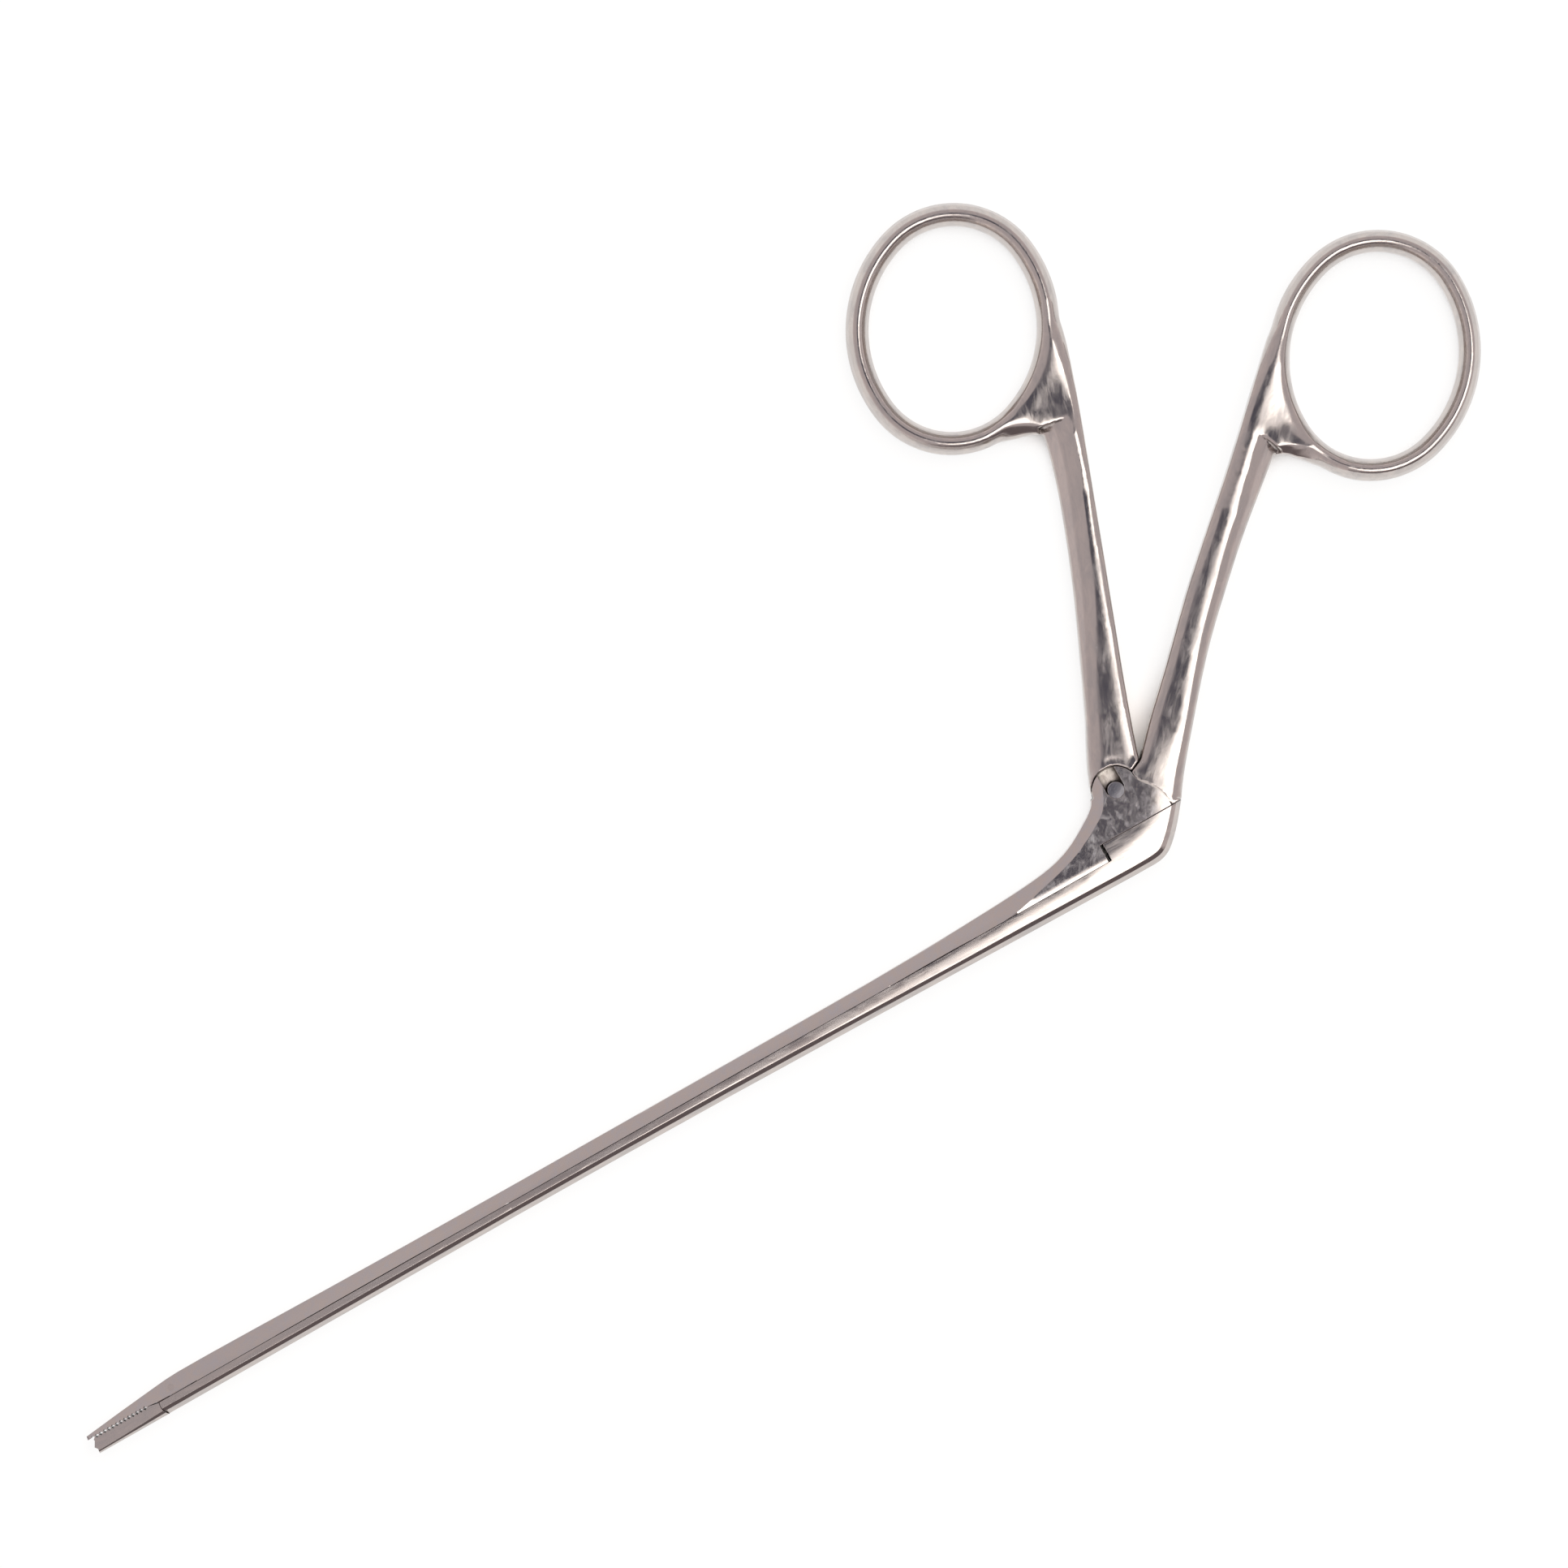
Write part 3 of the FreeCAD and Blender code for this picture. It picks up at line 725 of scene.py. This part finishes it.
@dataclass
class Handle:
    """A handle with its shank and finger ring, softly polished.

    Attributes:
        node: Solid of the frame.
        name: Name of the piece.
        body: Body that it rides on.
        shank_turn: Direction of the shank, in degrees from X.
        melts: Zones whose forms run into each other.
        lean: Zone between the shank and the ring.
        joint: Line along which the handle meets the lock, in millimetres.
        joint_reach: Distance from that line up to which the edges stay sharp.
        voxel: Size of a face, in millimetres.
        rounds: How often the whole handle is smoothed.
        hub_radius: Radius round the pivot inside which nothing is softened.
        joint_sharp: Distance from the joint up to which nothing is softened.
        fall_end: Distance along the shank at which the lock's fall has ended.
        fall_fade: Length over which it ends.
        tongue_top: Heights between which the tongue's ground face lies.
        tongue_radius: Radius of that face round the pivot.
    """

    node: str
    name: str
    body: Body
    shank_turn: float
    melts: Sequence[Melt]
    lean: Lean
    joint: Sequence[Tuple[float, float]]
    joint_reach: float = 0.7
    voxel: float = 0.18
    rounds: int = 3
    hub_radius: float = 2.9
    joint_sharp: float = 0.25
    fall_end: float = 9.0
    fall_fade: float = 5.0
    tongue_top: Tuple[float, float] = (3.6, 4.0)
    tongue_radius: float = 3.2

    def build(self, groups: Dict[str, bpy.types.ShaderNodeTree]) -> bpy.types.Object:
        """Makes the handle from the welded solid.

        Args:
            groups: The shared node groups.

        Returns:
            The piece.
        """
        made = remeshed(merged_copy(self.node), self.voxel)
        free = [vert for vert in made.verts if self._held(vert.co) > 0.5]
        ease(made, free, 1)
        Crown().apply(made, self._held)
        ease(made, free, self.rounds - 1)
        for melt in self.melts:
            melt.apply(made)
        self.lean.apply(made)
        if self.body is Body.FRAME:
            LockFall().apply(made, self._near_lock)
        low, high = self.tongue_top
        for face in made.faces:
            middle = face.calc_center_median()
            if low < middle.z < high and middle.xy.length < self.tongue_radius and face.normal.z > 0.5:
                face.material_index = 1
        steel = SteelFinish(self.name + "_steel", turn=self.shank_turn, stretch=4.0)
        # The tongue's ground face is rougher than the polished steel, which is real. Its pale colour is
        # painted light that makes up for the shade of the slot's walls.
        ground = SteelFinish(self.name + "_ground_painted_light_steel", pale=(0.95, 0.90, 0.83), dull=(0.70, 0.64, 0.58),
                             roughness=0.42, dull_roughness=0.55, turn=80.0, contrast=6.0, level=0.05,
                             grain=0.02)
        piece = Piece(self.name, self.body, Slot.POLISHED, (self.node,))
        return piece.place(made, [steel.make(groups), ground.make(groups)])

    def _near_lock(self, place: Vector) -> float:
        """Share of the lock's fall at a place.

        Args:
            place: The place, in millimetres.

        Returns:
            The share, 1 at the lock and 0 up the shank.
        """
        turn = math.radians(self.shank_turn)
        along = Vector((math.cos(turn), math.sin(turn)))
        return clamped((self.fall_end - place.xy.dot(along)) / self.fall_fade)

    def _held(self, place: Vector) -> float:
        """Share of the softening at a place: none along the joint with the lock, nor inside it.

        Args:
            place: The place, in millimetres.

        Returns:
            The share, from 0 to 1.
        """
        nearest = 1e9
        for first, second in zip(self.joint, self.joint[1:]):
            start, way = Vector(first), Vector(second) - Vector(first)
            share = clamped((place.xy - start).dot(way) / way.length_squared)
            nearest = min(nearest, (place.xy - start - way * share).length)
        if place.xy.length < self.hub_radius:
            return 0.0
        return clamped((nearest - self.joint_sharp) / self.joint_reach)


@dataclass
class BrazeSeam:
    """The filler of the brazed joint, filed flush, a little paler than the steel.

    Attributes:
        line: Middle of the seam, in millimetres.
        half: Half of its width, in millimetres.
        depth: Distance of its faces from the faces of the handle, in millimetres.
    """

    line: Sequence[Tuple[float, float]] = ((5.62, -4.80), (5.02, -4.2), (4.78, -2.95), (4.15, -1.70),
                                           (3.35, -0.72), (3.02, 0.05))
    half: float = 0.13
    depth: float = 0.004

    def build(self, groups: Dict[str, bpy.types.ShaderNodeTree]) -> bpy.types.Object:
        """Draws the seam's upper face and extrudes it through the joint.

        Args:
            groups: The shared node groups.

        Returns:
            The piece.
        """
        made = bmesh.new()
        pairs = []
        for number, (x, y) in enumerate(self.line):
            before = self.line[max(0, number - 1)]
            after = self.line[min(len(self.line) - 1, number + 1)]
            way = Vector((after[0] - before[0], after[1] - before[1])).normalized()
            side = Vector((-way.y, way.x)) * self.half
            pairs.append([made.verts.new((x + sign * side.x, y + sign * side.y, self.depth))
                          for sign in (1, -1)])
        for first, second in zip(pairs, pairs[1:]):
            made.faces.new((first[0], first[1], second[1], second[0]))
        walls = bmesh.ops.extrude_face_region(made, geom=made.faces[:])
        top = [item for item in walls["geom"] if isinstance(item, bmesh.types.BMVert)]
        bmesh.ops.translate(made, vec=(0.0, 0.0, THICKNESS - 2 * self.depth), verts=top)
        bmesh.ops.recalc_face_normals(made, faces=made.faces)
        LockFall().apply(made)
        filler = SteelFinish("braze_filler", pale=(0.66, 0.61, 0.56), turn=-60.0, roughness=0.2)
        return Piece("braze_seam", Body.FRAME, Slot.POLISHED).place(made, [filler.make(groups)], crisp=15.0)


@dataclass
class FixedRod:
    """The fixed rod with the lock and the serrated upper jaw, its sizes in millimetres.

    Attributes:
        edge: Rounding of the edges.
        shaft_rows: First line, last line and step of the lines across the shaft.
        lock_rows: The same for the lines on the lock.
        seam: Line beside the sliding rod.
        seam_end: Where that line ends, at the notch.
        seam_width: Width of the edge that is lowered along it.
        seam_chamfer: How much lower that edge is.
        facet_top: Upper end of the faces beside the seam.
        facet_step: Distance between the lines along those faces.
        facet_fall: Fall per square millimetre from the seam.
        facet_reach: Distance from the seam beyond which it falls no further.
        facet_start: Where the fall starts, towards the tip.
        facet_fade: Length over which it comes in.
        teeth_x: Reach of the teeth along the shaft, where no edge is rounded.
        teeth_y: Reach of the teeth across it.
        slot_half: Half of the height within which the edges are inside.
    """

    edge: EasedEdge = EasedEdge(width=0.05, sharpest=17.0)
    shaft_rows: Tuple[float, float, float] = (-138.0, -14.0, 3.0)
    lock_rows: Tuple[float, float, float] = (3.9, 9.0, 0.5)
    seam: float = -7.2
    seam_end: float = -9.5
    seam_width: float = 0.04
    seam_chamfer: float = 0.06
    facet_top: float = -4.4
    facet_step: float = 0.4
    facet_fall: float = 0.03
    facet_reach: float = 2.4
    facet_start: float = -17.0
    facet_fade: float = 4.0
    teeth_x: Tuple[float, float] = (-150.0, -139.5)
    teeth_y: Tuple[float, float] = (-7.6, -6.2)
    slot_half: float = 1.2

    def build(self, groups: Dict[str, bpy.types.ShaderNodeTree]) -> bpy.types.Object:
        """Makes the rod from the welded solid.

        Args:
            groups: The shared node groups.

        Returns:
            The piece.
        """
        made = flat_faced_copy("frame_rod")
        self.edge.apply(made, self._outside)
        rows(made, ALONG_SHAFT, *self.shaft_rows)
        rows(made, ACROSS_SHAFT, self.seam + self.facet_step, self.facet_top, self.facet_step)
        rows(made, LOCK_OUTWARD, *self.lock_rows)
        for vert in made.verts:
            up = min(max(0.0, vert.co.y - self.seam), self.facet_reach)
            up *= clamped((self.facet_start - vert.co.x) / self.facet_fade)
            lower(vert, self.facet_fall * up * up)
        made.normal_update()
        for vert in made.verts:
            beside = vert.co.y < self.seam + self.seam_width and vert.co.x < self.seam_end
            if beside and abs(vert.normal.z) > 0.3:
                vert.co.z -= math.copysign(self.seam_chamfer, vert.co.z - MIDDLE)
        LockFall().apply(made)
        steel = SteelFinish("fixed_rod_steel", turn=60.0, stretch=1.8, contrast=4.0, dull_roughness=0.20,
                            dull=(0.56, 0.54, 0.55), level=0.006, swell=0.008)
        piece = Piece("fixed_rod", Body.FRAME, Slot.POLISHED, ("frame_rod",))
        return piece.place(made, [steel.make(groups)], crisp=15.0)

    def _outside(self, place: Vector) -> bool:
        """Tells the outer edges from those in the slots, between the teeth and along the seam.

        Args:
            place: Middle of an edge, in millimetres.

        Returns:
            Whether the edge is rounded.
        """
        between = self.teeth_x[0] < place.x < self.teeth_x[1] and self.teeth_y[0] < place.y < self.teeth_y[1]
        inside = abs(place.z - MIDDLE) < self.slot_half
        at_seam = abs(place.y - self.seam) < 2 * self.seam_width and place.x < self.seam_end
        return not between and not inside and not at_seam


@dataclass
class SlidingRod:
    """The rod that slides along the fixed one, with its crowned broad faces, its sizes in millimetres.

    Attributes:
        seam: Line beside the fixed rod, from which the faces fall off.
        seam_top: Height of that line beside the lock, above which it doesn't rise.
        notch: Where the line starts to turn towards the upper seam of the lock.
        rise: How steeply it turns.
        fall: Fall per square millimetre from the line.
        round_to: Distance from the line beyond which the fall goes on evenly.
        fade_end: Where the fall is least, towards the tip.
        fade_length: Length over which it comes in.
        fade_least: Least share of it.
        shaft_rows: First line, last line and step of the lines across the shaft.
        knee_rows: The same beside the lock, from the notch on.
        face_rows: The same for the lines along the rod, as distances below the middle of the lock.
        slot_half: Half of the height within which the edges are inside.
        knee_start: Where the edges of the knee start.
        outer: Line below which the edges of the shaft are on its outer side.
        edge: Rounding of the edges.
    """

    seam: float = -7.1
    seam_top: float = -4.99
    notch: float = -9.0
    rise: float = 0.17
    fall: float = 0.024
    round_to: float = 1.6
    fade_end: float = -90.0
    fade_length: float = 25.0
    fade_least: float = 0.15
    shaft_rows: Tuple[float, float, float] = (-138.0, -9.5, 3.0)
    knee_rows: Tuple[float, float, float] = (-9.0, 4.0, 1.5)
    face_rows: Tuple[float, float, float] = (5.3, 10.4, 0.3)
    slot_half: float = 1.2
    knee_start: float = -8.0
    outer: float = -7.34
    edge: EasedEdge = EasedEdge(width=0.05, sharpest=17.0)

    def build(self, groups: Dict[str, bpy.types.ShaderNodeTree]) -> bpy.types.Object:
        """Makes the rod from the welded solid.

        Args:
            groups: The shared node groups.

        Returns:
            The piece.
        """
        made = flat_faced_copy("slide_rod")
        self.edge.apply(made, self._outside)
        rows(made, ALONG_SHAFT, *self.shaft_rows)
        rows(made, ALONG_SHAFT, *self.knee_rows)
        rows(made, -ACROSS_SHAFT, *self.face_rows)
        for vert in made.verts:
            start = self.seam + self.rise * max(0.0, vert.co.x - self.notch)
            down = max(0.0, min(start, self.seam_top) - vert.co.y)
            even = max(0.0, down - self.round_to)
            share = max(self.fade_least, min(1.0, (vert.co.x - self.fade_end) / self.fade_length))
            bent = min(down, self.round_to)
            lower(vert, self.fall * share * (bent ** 2 + 2 * self.round_to * even))
        LockFall().apply(made)
        steel = SteelFinish("sliding_rod_steel", turn=-2.0, stretch=7.0, level=0.006)
        piece = Piece("sliding_rod", Body.SLIDE, Slot.POLISHED, ("slide_rod",))
        return piece.place(made, [steel.make(groups)], crisp=15.0)

    def _outside(self, place: Vector) -> bool:
        """Whether an edge with that middle is on the outside, away from the seam."""
        return abs(place.z - MIDDLE) > self.slot_half and (place.x > self.knee_start or place.y < self.outer)


@dataclass
class HingedJaw:
    """The small lower jaw with its serrations.

    Attributes:
        edge: Rounding of the edges.
        teeth_y: Reach of the teeth across the jaw, in millimetres, where no edge is rounded.
        heel_half: Half of the height within which the edges are inside the heel, in millimetres.
    """

    edge: EasedEdge = EasedEdge(width=0.03, sharpest=17.0, shortest=0.1)
    teeth_y: Tuple[float, float] = (-7.7, -6.2)
    heel_half: float = 0.7

    def build(self, groups: Dict[str, bpy.types.ShaderNodeTree]) -> bpy.types.Object:
        """Makes the jaw from the welded solid.

        Args:
            groups: The shared node groups.

        Returns:
            The piece.
        """
        made = flat_faced_copy("lower_jaw")
        self.edge.apply(made, self._outside)
        steel = SteelFinish("jaw_steel", turn=3.0)
        piece = Piece("hinged_jaw", Body.JAW, Slot.POLISHED, ("lower_jaw",))
        return piece.place(made, [steel.make(groups)], crisp=15.0)

    def _outside(self, place: Vector) -> bool:
        """Whether an edge with that middle is on the outside and not between the teeth."""
        between = self.teeth_y[0] < place.y < self.teeth_y[1]
        return not between and abs(place.z - MIDDLE) > self.heel_half


@dataclass
class PivotPin:
    """The pin of the lock, its ends filed flush and slightly domed.

    Attributes:
        radius: Radius of the pin, in millimetres.
        dome: How much lower the rim of an end is than its middle.
        chamfer: Width of the rim's chamfer.
        steps: Faces round the pin.
    """

    radius: float = 1.05
    dome: float = 0.008
    chamfer: float = 0.05
    steps: int = 64

    def build(self, groups: Dict[str, bpy.types.ShaderNodeTree]) -> bpy.types.Object:
        """Turns the pin's outline about its axis.

        Args:
            groups: The shared node groups.

        Returns:
            The piece.
        """
        made = bmesh.new()
        top, edge = THICKNESS, self.radius - self.chamfer
        outline = [(0.0, top), (edge * 0.5, top - self.dome * 0.25), (edge, top - self.dome),
                   (self.radius, top - self.dome - self.chamfer)]
        outline += [(x, THICKNESS - z) for x, z in reversed(outline)]
        verts = [made.verts.new((x, 0.0, z)) for x, z in outline]
        edges = [made.edges.new(pair) for pair in zip(verts, verts[1:])]
        bmesh.ops.spin(made, geom=verts + edges, cent=(0.0, 0.0, 0.0), axis=(0.0, 0.0, 1.0),
                       dvec=(0.0, 0.0, 0.0), angle=2 * math.pi, steps=self.steps, use_merge=True,
                       use_duplicate=False)
        bmesh.ops.remove_doubles(made, verts=made.verts, dist=0.0005)
        bmesh.ops.recalc_face_normals(made, faces=made.faces)
        finish = SteelFinish("pivot_pin_steel", pale=(0.60, 0.58, 0.60), dull=(0.46, 0.45, 0.48), turn=35.0,
                             roughness=0.12, dull_roughness=0.2, level=0.008)
        piece = Piece("pivot_pin", Body.FRAME, Slot.PIN, ("handle_pivot_pin",))
        return piece.place(made, [finish.make(groups)], crisp=35.0)


@dataclass
class SmallPins:
    """The jaw's two pins, the drive pin and the guide studs, which keep the shape of their solids.

    Attributes:
        nodes: The solids by name.
    """

    nodes: Sequence[str] = ("drive_pin", "jaw_pivot_pin", "jaw_link_pin", "front_guide_stud",
                            "rear_guide_stud")

    def dress(self, groups: Dict[str, bpy.types.ShaderNodeTree]) -> List[bpy.types.Object]:
        """Gives the solids of the pins their steel.

        Args:
            groups: The shared node groups.

        Returns:
            The dressed solids.
        """
        steel = SteelFinish("small_pin_steel", turn=6.0).make(groups)
        dressed = []
        for name in self.nodes:
            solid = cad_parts[name]
            solid.data.materials.clear()
            solid.data.materials.append(steel)
            dressed.append(solid)
            LOG.info("%s: dressed", name)
        return dressed


# ---------------------------------------------------------------- studio


@dataclass(frozen=True)
class Softbox:
    """A large soft lamp.

    Attributes:
        name: Name of the lamp.
        heading: Direction in the picture, in degrees from its right side.
        from_above: Angle from straight above, in degrees.
        distance: Distance from the middle of the picture, in metres.
        size: Size across and along its heading, in metres.
        power: Power in watts.
        mirrored: Whether the polished metal shows it.
        colour: Colour of its light.
    """

    name: str
    heading: float
    from_above: float
    distance: float
    size: Tuple[float, float]
    power: float
    mirrored: bool = True
    colour: Colour = (1.0, 0.965, 0.91)

    def place(self, middle: Vector, shaft_turn: float) -> None:
        """Adds the lamp, aimed at the middle of the picture.

        Args:
            middle: Middle of the picture, in metres.
            shaft_turn: Angle of the shaft in the picture, in degrees.
        """
        lamp = bpy.data.lights.new(self.name, "AREA")
        lamp.shape = "RECTANGLE"
        lamp.size, lamp.size_y = self.size
        lamp.energy = self.power
        lamp.color = self.colour
        turn = math.radians(self.heading - shaft_turn)
        tilt = math.radians(self.from_above)
        way = Vector((math.cos(turn) * math.sin(tilt), math.sin(turn) * math.sin(tilt), math.cos(tilt)))
        holder = bpy.data.objects.new(self.name, lamp)
        holder.location = middle + way * self.distance
        holder.rotation_euler = way.to_track_quat("Z", "Y").to_euler()
        holder.visible_glossy = self.mirrored
        bpy.context.scene.collection.objects.link(holder)


@dataclass
class Studio:
    """Pale floor, soft light and the camera over the forceps.

    Attributes:
        shaft_turn: Angle of the shaft in the picture, in degrees.
        middle: Middle of the picture in the plane of the forceps, in millimetres.
        picture: Width of the picture at the middle of the forceps, in millimetres.
        distance: Distance of the camera, in metres.
        floor_half: Half of the floor's side, in metres.
        floor_gap: Distance of the floor under the forceps, in metres.
        floor_colour: Colour of the floor.
        floor_white: Share of plain white that the camera and the metal see in it.
        shade_reach: Distance within which pieces shade it, in metres.
        shade: Openness at which that white is gone, and at which it is full.
        walls: Colours of the surroundings by height, from the horizon up.
        overhead: Heading and angle from above of the dark round straight above the lock.
        overhead_rim: Cosines of the angles at which it ends and is full.
        overhead_colour: Its colour.
        flag: Heading and angle from above of the dark side.
        flag_rim: Cosines of the angles at which it ends and is full.
        flag_foot: Heights at which it starts and is full.
        flag_colour: Its colour.
        boxes: The lamps.
    """

    shaft_turn: float = SHAFT_TURN
    middle: Tuple[float, float] = (-35.08, 20.85)
    picture: float = 193.2
    distance: float = 1.0
    floor_half: float = 3.0
    floor_gap: float = 0.00005
    floor_colour: Colour = (0.9, 0.88, 0.87)
    floor_white: float = 0.90
    shade_reach: float = 0.008
    shade: Tuple[float, float] = (0.25, 0.45)
    walls: Sequence[Tuple[float, Colour]] = (
        (0.0, (0.88, 0.83, 0.82)),
        (0.10, (0.78, 0.71, 0.71)),
        (0.36, (0.65, 0.585, 0.585)),
        (1.0, (0.58, 0.53, 0.54)),
    )
    overhead: Tuple[float, float] = (55.0, 4.3)
    overhead_rim: Tuple[float, float] = (0.9830, 0.9938)
    overhead_colour: Colour = (0.10, 0.10, 0.13)
    flag: Tuple[float, float] = (-65.0, 90.0)
    flag_rim: Tuple[float, float] = (0.72, 0.80)
    flag_foot: Tuple[float, float] = (0.03, 0.12)
    flag_colour: Colour = (0.17, 0.14, 0.145)
    boxes: Sequence[Softbox] = (
        Softbox("key_softbox", -29.0, 19.5, 1.3, (0.80, 0.55), 3.1),
        Softbox("overhead_softbox", 60.0, 20.0, 1.4, (1.2, 1.2), 20.0, mirrored=False),
    )

    def build(self) -> None:
        """Makes the floor, the light and the camera."""
        self._floor()
        self._world()
        for box in self.boxes:
            box.place(Vector((self.middle[0], self.middle[1], 0.0)) * MM, self.shaft_turn)
        self._camera()
        LOG.info("studio: floor, light and camera made")

    def _floor(self) -> None:
        """White floor that keeps a faint shadow."""
        made = bmesh.new()
        bmesh.ops.create_grid(made, x_segments=1, y_segments=1, size=self.floor_half)
        mesh = bpy.data.meshes.new("floor")
        made.to_mesh(mesh)
        made.free()
        floor = bpy.data.objects.new("floor", mesh)
        floor.location.z = -self.floor_gap
        bpy.context.scene.collection.objects.link(floor)
        material = bpy.data.materials.new("white_paper")
        material.use_nodes = True
        tree = material.node_tree
        shader = tree.nodes["Principled BSDF"]
        shader.inputs["Base Color"].default_value = (*self.floor_colour, 1.0)
        shader.inputs["Roughness"].default_value = 0.9
        glow = add_node(tree, "ShaderNodeEmission")
        glow.inputs["Strength"].default_value = 1.0
        path = add_node(tree, "ShaderNodeLightPath")
        seen = calculate(tree, "MAXIMUM", path.outputs["Is Camera Ray"], path.outputs["Is Glossy Ray"])
        seen = calculate(tree, "MAXIMUM", seen, path.outputs["Is Transmission Ray"])
        blend = add_node(tree, "ShaderNodeMixShader")
        closed = add_node(tree, "ShaderNodeAmbientOcclusion", samples=8)
        closed.inputs["Distance"].default_value = self.shade_reach
        open_floor = self._between(tree, closed.outputs["AO"], *self.shade)
        seen = calculate(tree, "MULTIPLY", seen, open_floor)
        wire(tree, calculate(tree, "MULTIPLY", seen, self.floor_white), blend.inputs[0])
        wire(tree, shader.outputs[0], blend.inputs[1])
        wire(tree, glow.outputs[0], blend.inputs[2])
        wire(tree, blend.outputs[0], tree.nodes["Material Output"].inputs["Surface"])
        mesh.materials.append(material)

    def _world(self) -> None:
        """Soft surroundings: pale at the horizon, dark straight above where the camera stands."""
        world = bpy.data.worlds.new("studio")
        bpy.context.scene.world = world
        world.use_nodes = True
        tree = world.node_tree
        ground = tree.nodes["Background"]
        place = add_node(tree, "ShaderNodeTexCoord").outputs["Generated"]
        split = add_node(tree, "ShaderNodeSeparateXYZ")
        wire(tree, place, split.inputs[0])
        walls = add_node(tree, "ShaderNodeValToRGB")
        wire(tree, split.outputs["Z"], walls.inputs[0])
        self._stops(walls, self.walls)
        overhead = self._between(tree, self._towards(tree, place, *self.overhead), *self.overhead_rim)
        flag = self._between(tree, self._towards(tree, place, *self.flag), *self.flag_rim)
        foot = self._between(tree, split.outputs["Z"], *self.flag_foot)
        flag = calculate(tree, "MULTIPLY", flag, foot)
        dimmed = mix_colours(tree, overhead, walls.outputs[0], self.overhead_colour)
        dimmed = mix_colours(tree, flag, dimmed, self.flag_colour)
        wire(tree, dimmed, ground.inputs["Color"])
        ground.inputs["Strength"].default_value = 1.0

    @staticmethod
    def _stops(ramp: bpy.types.Node, stops: Sequence[Tuple[float, Colour]]) -> None:
        """Gives a colour ramp its stops.

        Args:
            ramp: The ramp's node.
            stops: Places with their colours, in order.
        """
        ramp.color_ramp.elements.remove(ramp.color_ramp.elements[1])
        first = ramp.color_ramp.elements[0]
        first.position, first.color = stops[0][0], (*stops[0][1], 1.0)
        for position, colour in stops[1:]:
            ramp.color_ramp.elements.new(position).color = (*colour, 1.0)

    def _towards(self, tree: bpy.types.NodeTree, place: bpy.types.NodeSocket, heading: float,
                 from_above: float) -> bpy.types.NodeSocket:
        """Cosine of the angle between a direction and one given as for the lamps.

        Args:
            tree: Tree that takes the node.
            place: Socket of the direction.
            heading: Direction in the picture, in degrees from its right side.
            from_above: Angle from straight above, in degrees.

        Returns:
            The cosine's socket.
        """
        turn, tilt = math.radians(heading - self.shaft_turn), math.radians(from_above)
        node = add_node(tree, "ShaderNodeVectorMath", operation="DOT_PRODUCT")
        wire(tree, place, node.inputs[0])
        node.inputs[1].default_value = (math.cos(turn) * math.sin(tilt), math.sin(turn) * math.sin(tilt),
                                        math.cos(tilt))
        return node.outputs["Value"]

    @staticmethod
    def _between(tree: bpy.types.NodeTree, value: bpy.types.NodeSocket, low: float,
                 high: float) -> bpy.types.NodeSocket:
        """Rises smoothly from 0 at the low value to 1 at the high one.

        Args:
            tree: Tree that takes the node.
            value: Socket of the value.
            low: Value at which the result leaves 0.
            high: Value at which it reaches 1.

        Returns:
            The result's socket.
        """
        node = add_node(tree, "ShaderNodeMapRange", interpolation_type="SMOOTHSTEP")
        wire(tree, value, node.inputs["Value"])
        node.inputs["From Min"].default_value = low
        node.inputs["From Max"].default_value = high
        return node.outputs[0]

    def _camera(self) -> None:
        """Camera straight over the forceps, with a long lens."""
        lens = bpy.data.cameras.new("camera")
        lens.sensor_fit = "HORIZONTAL"
        lens.sensor_width = 36.0
        lens.lens = lens.sensor_width * self.distance / (self.picture * MM)
        lens.clip_start = 0.01
        lens.clip_end = 20.0
        camera = bpy.data.objects.new("camera", lens)
        camera.location = (self.middle[0] * MM, self.middle[1] * MM, MIDDLE * MM + self.distance)
        camera.rotation_euler = (0.0, 0.0, math.radians(-self.shaft_turn))
        bpy.context.scene.collection.objects.link(camera)
        bpy.context.scene.camera = camera


def main() -> None:
    """Builds the studio and every piece, in order."""
    logging.basicConfig(level=logging.INFO, format="%(name)s %(message)s")
    bpy.context.scene.view_settings.view_transform = "Standard"
    groups = {
        "polish_grain": polish_grain_group(),
        "hand_mottle": hand_mottle_group(),
        "crevice_shade": crevice_shade_group(),
    }
    Studio().build()
    FixedRod().build(groups)
    SlidingRod().build(groups)
    Handle("rear_handle", "brazed_handle", Body.FRAME, shank_turn=42.0,
           melts=(Melt((44.4, 39.4), 1.0, 4.0, 60), Melt((41.6, 21.9), 0.8, 3.2, 50),
                  Melt((43.9, 31.2), 1.0, 4.6, 30)),
           lean=Lean((42.3, 31.5)),
           joint=((6.6, -4.93), (5.05, -4.93), (4.78, -2.95), (4.15, -1.7), (3.35, -0.72),
                  (2.75, 1.0))).build(groups)
    Handle("front_handle", "lever_handle", Body.LEVER, shank_turn=68.0,
           melts=(Melt((22.1, 52.6), 1.0, 4.0, 60), Melt((10.6, 43.9), 0.8, 3.2, 50),
                  Melt((17.4, 48.6), 1.0, 4.6, 30)),
           lean=Lean((16.2, 47.2)),
           joint=((4.33, 1.9), (2.81, 1.14), (1.8, 2.45), (0.0, 3.03), (-1.8, 2.45),
                  (-2.86, 1.1))).build(groups)
    BrazeSeam().build(groups)
    HingedJaw().build(groups)
    PivotPin().build(groups)
    SmallPins().dress(groups)


if __name__ == "__main__":
    main()
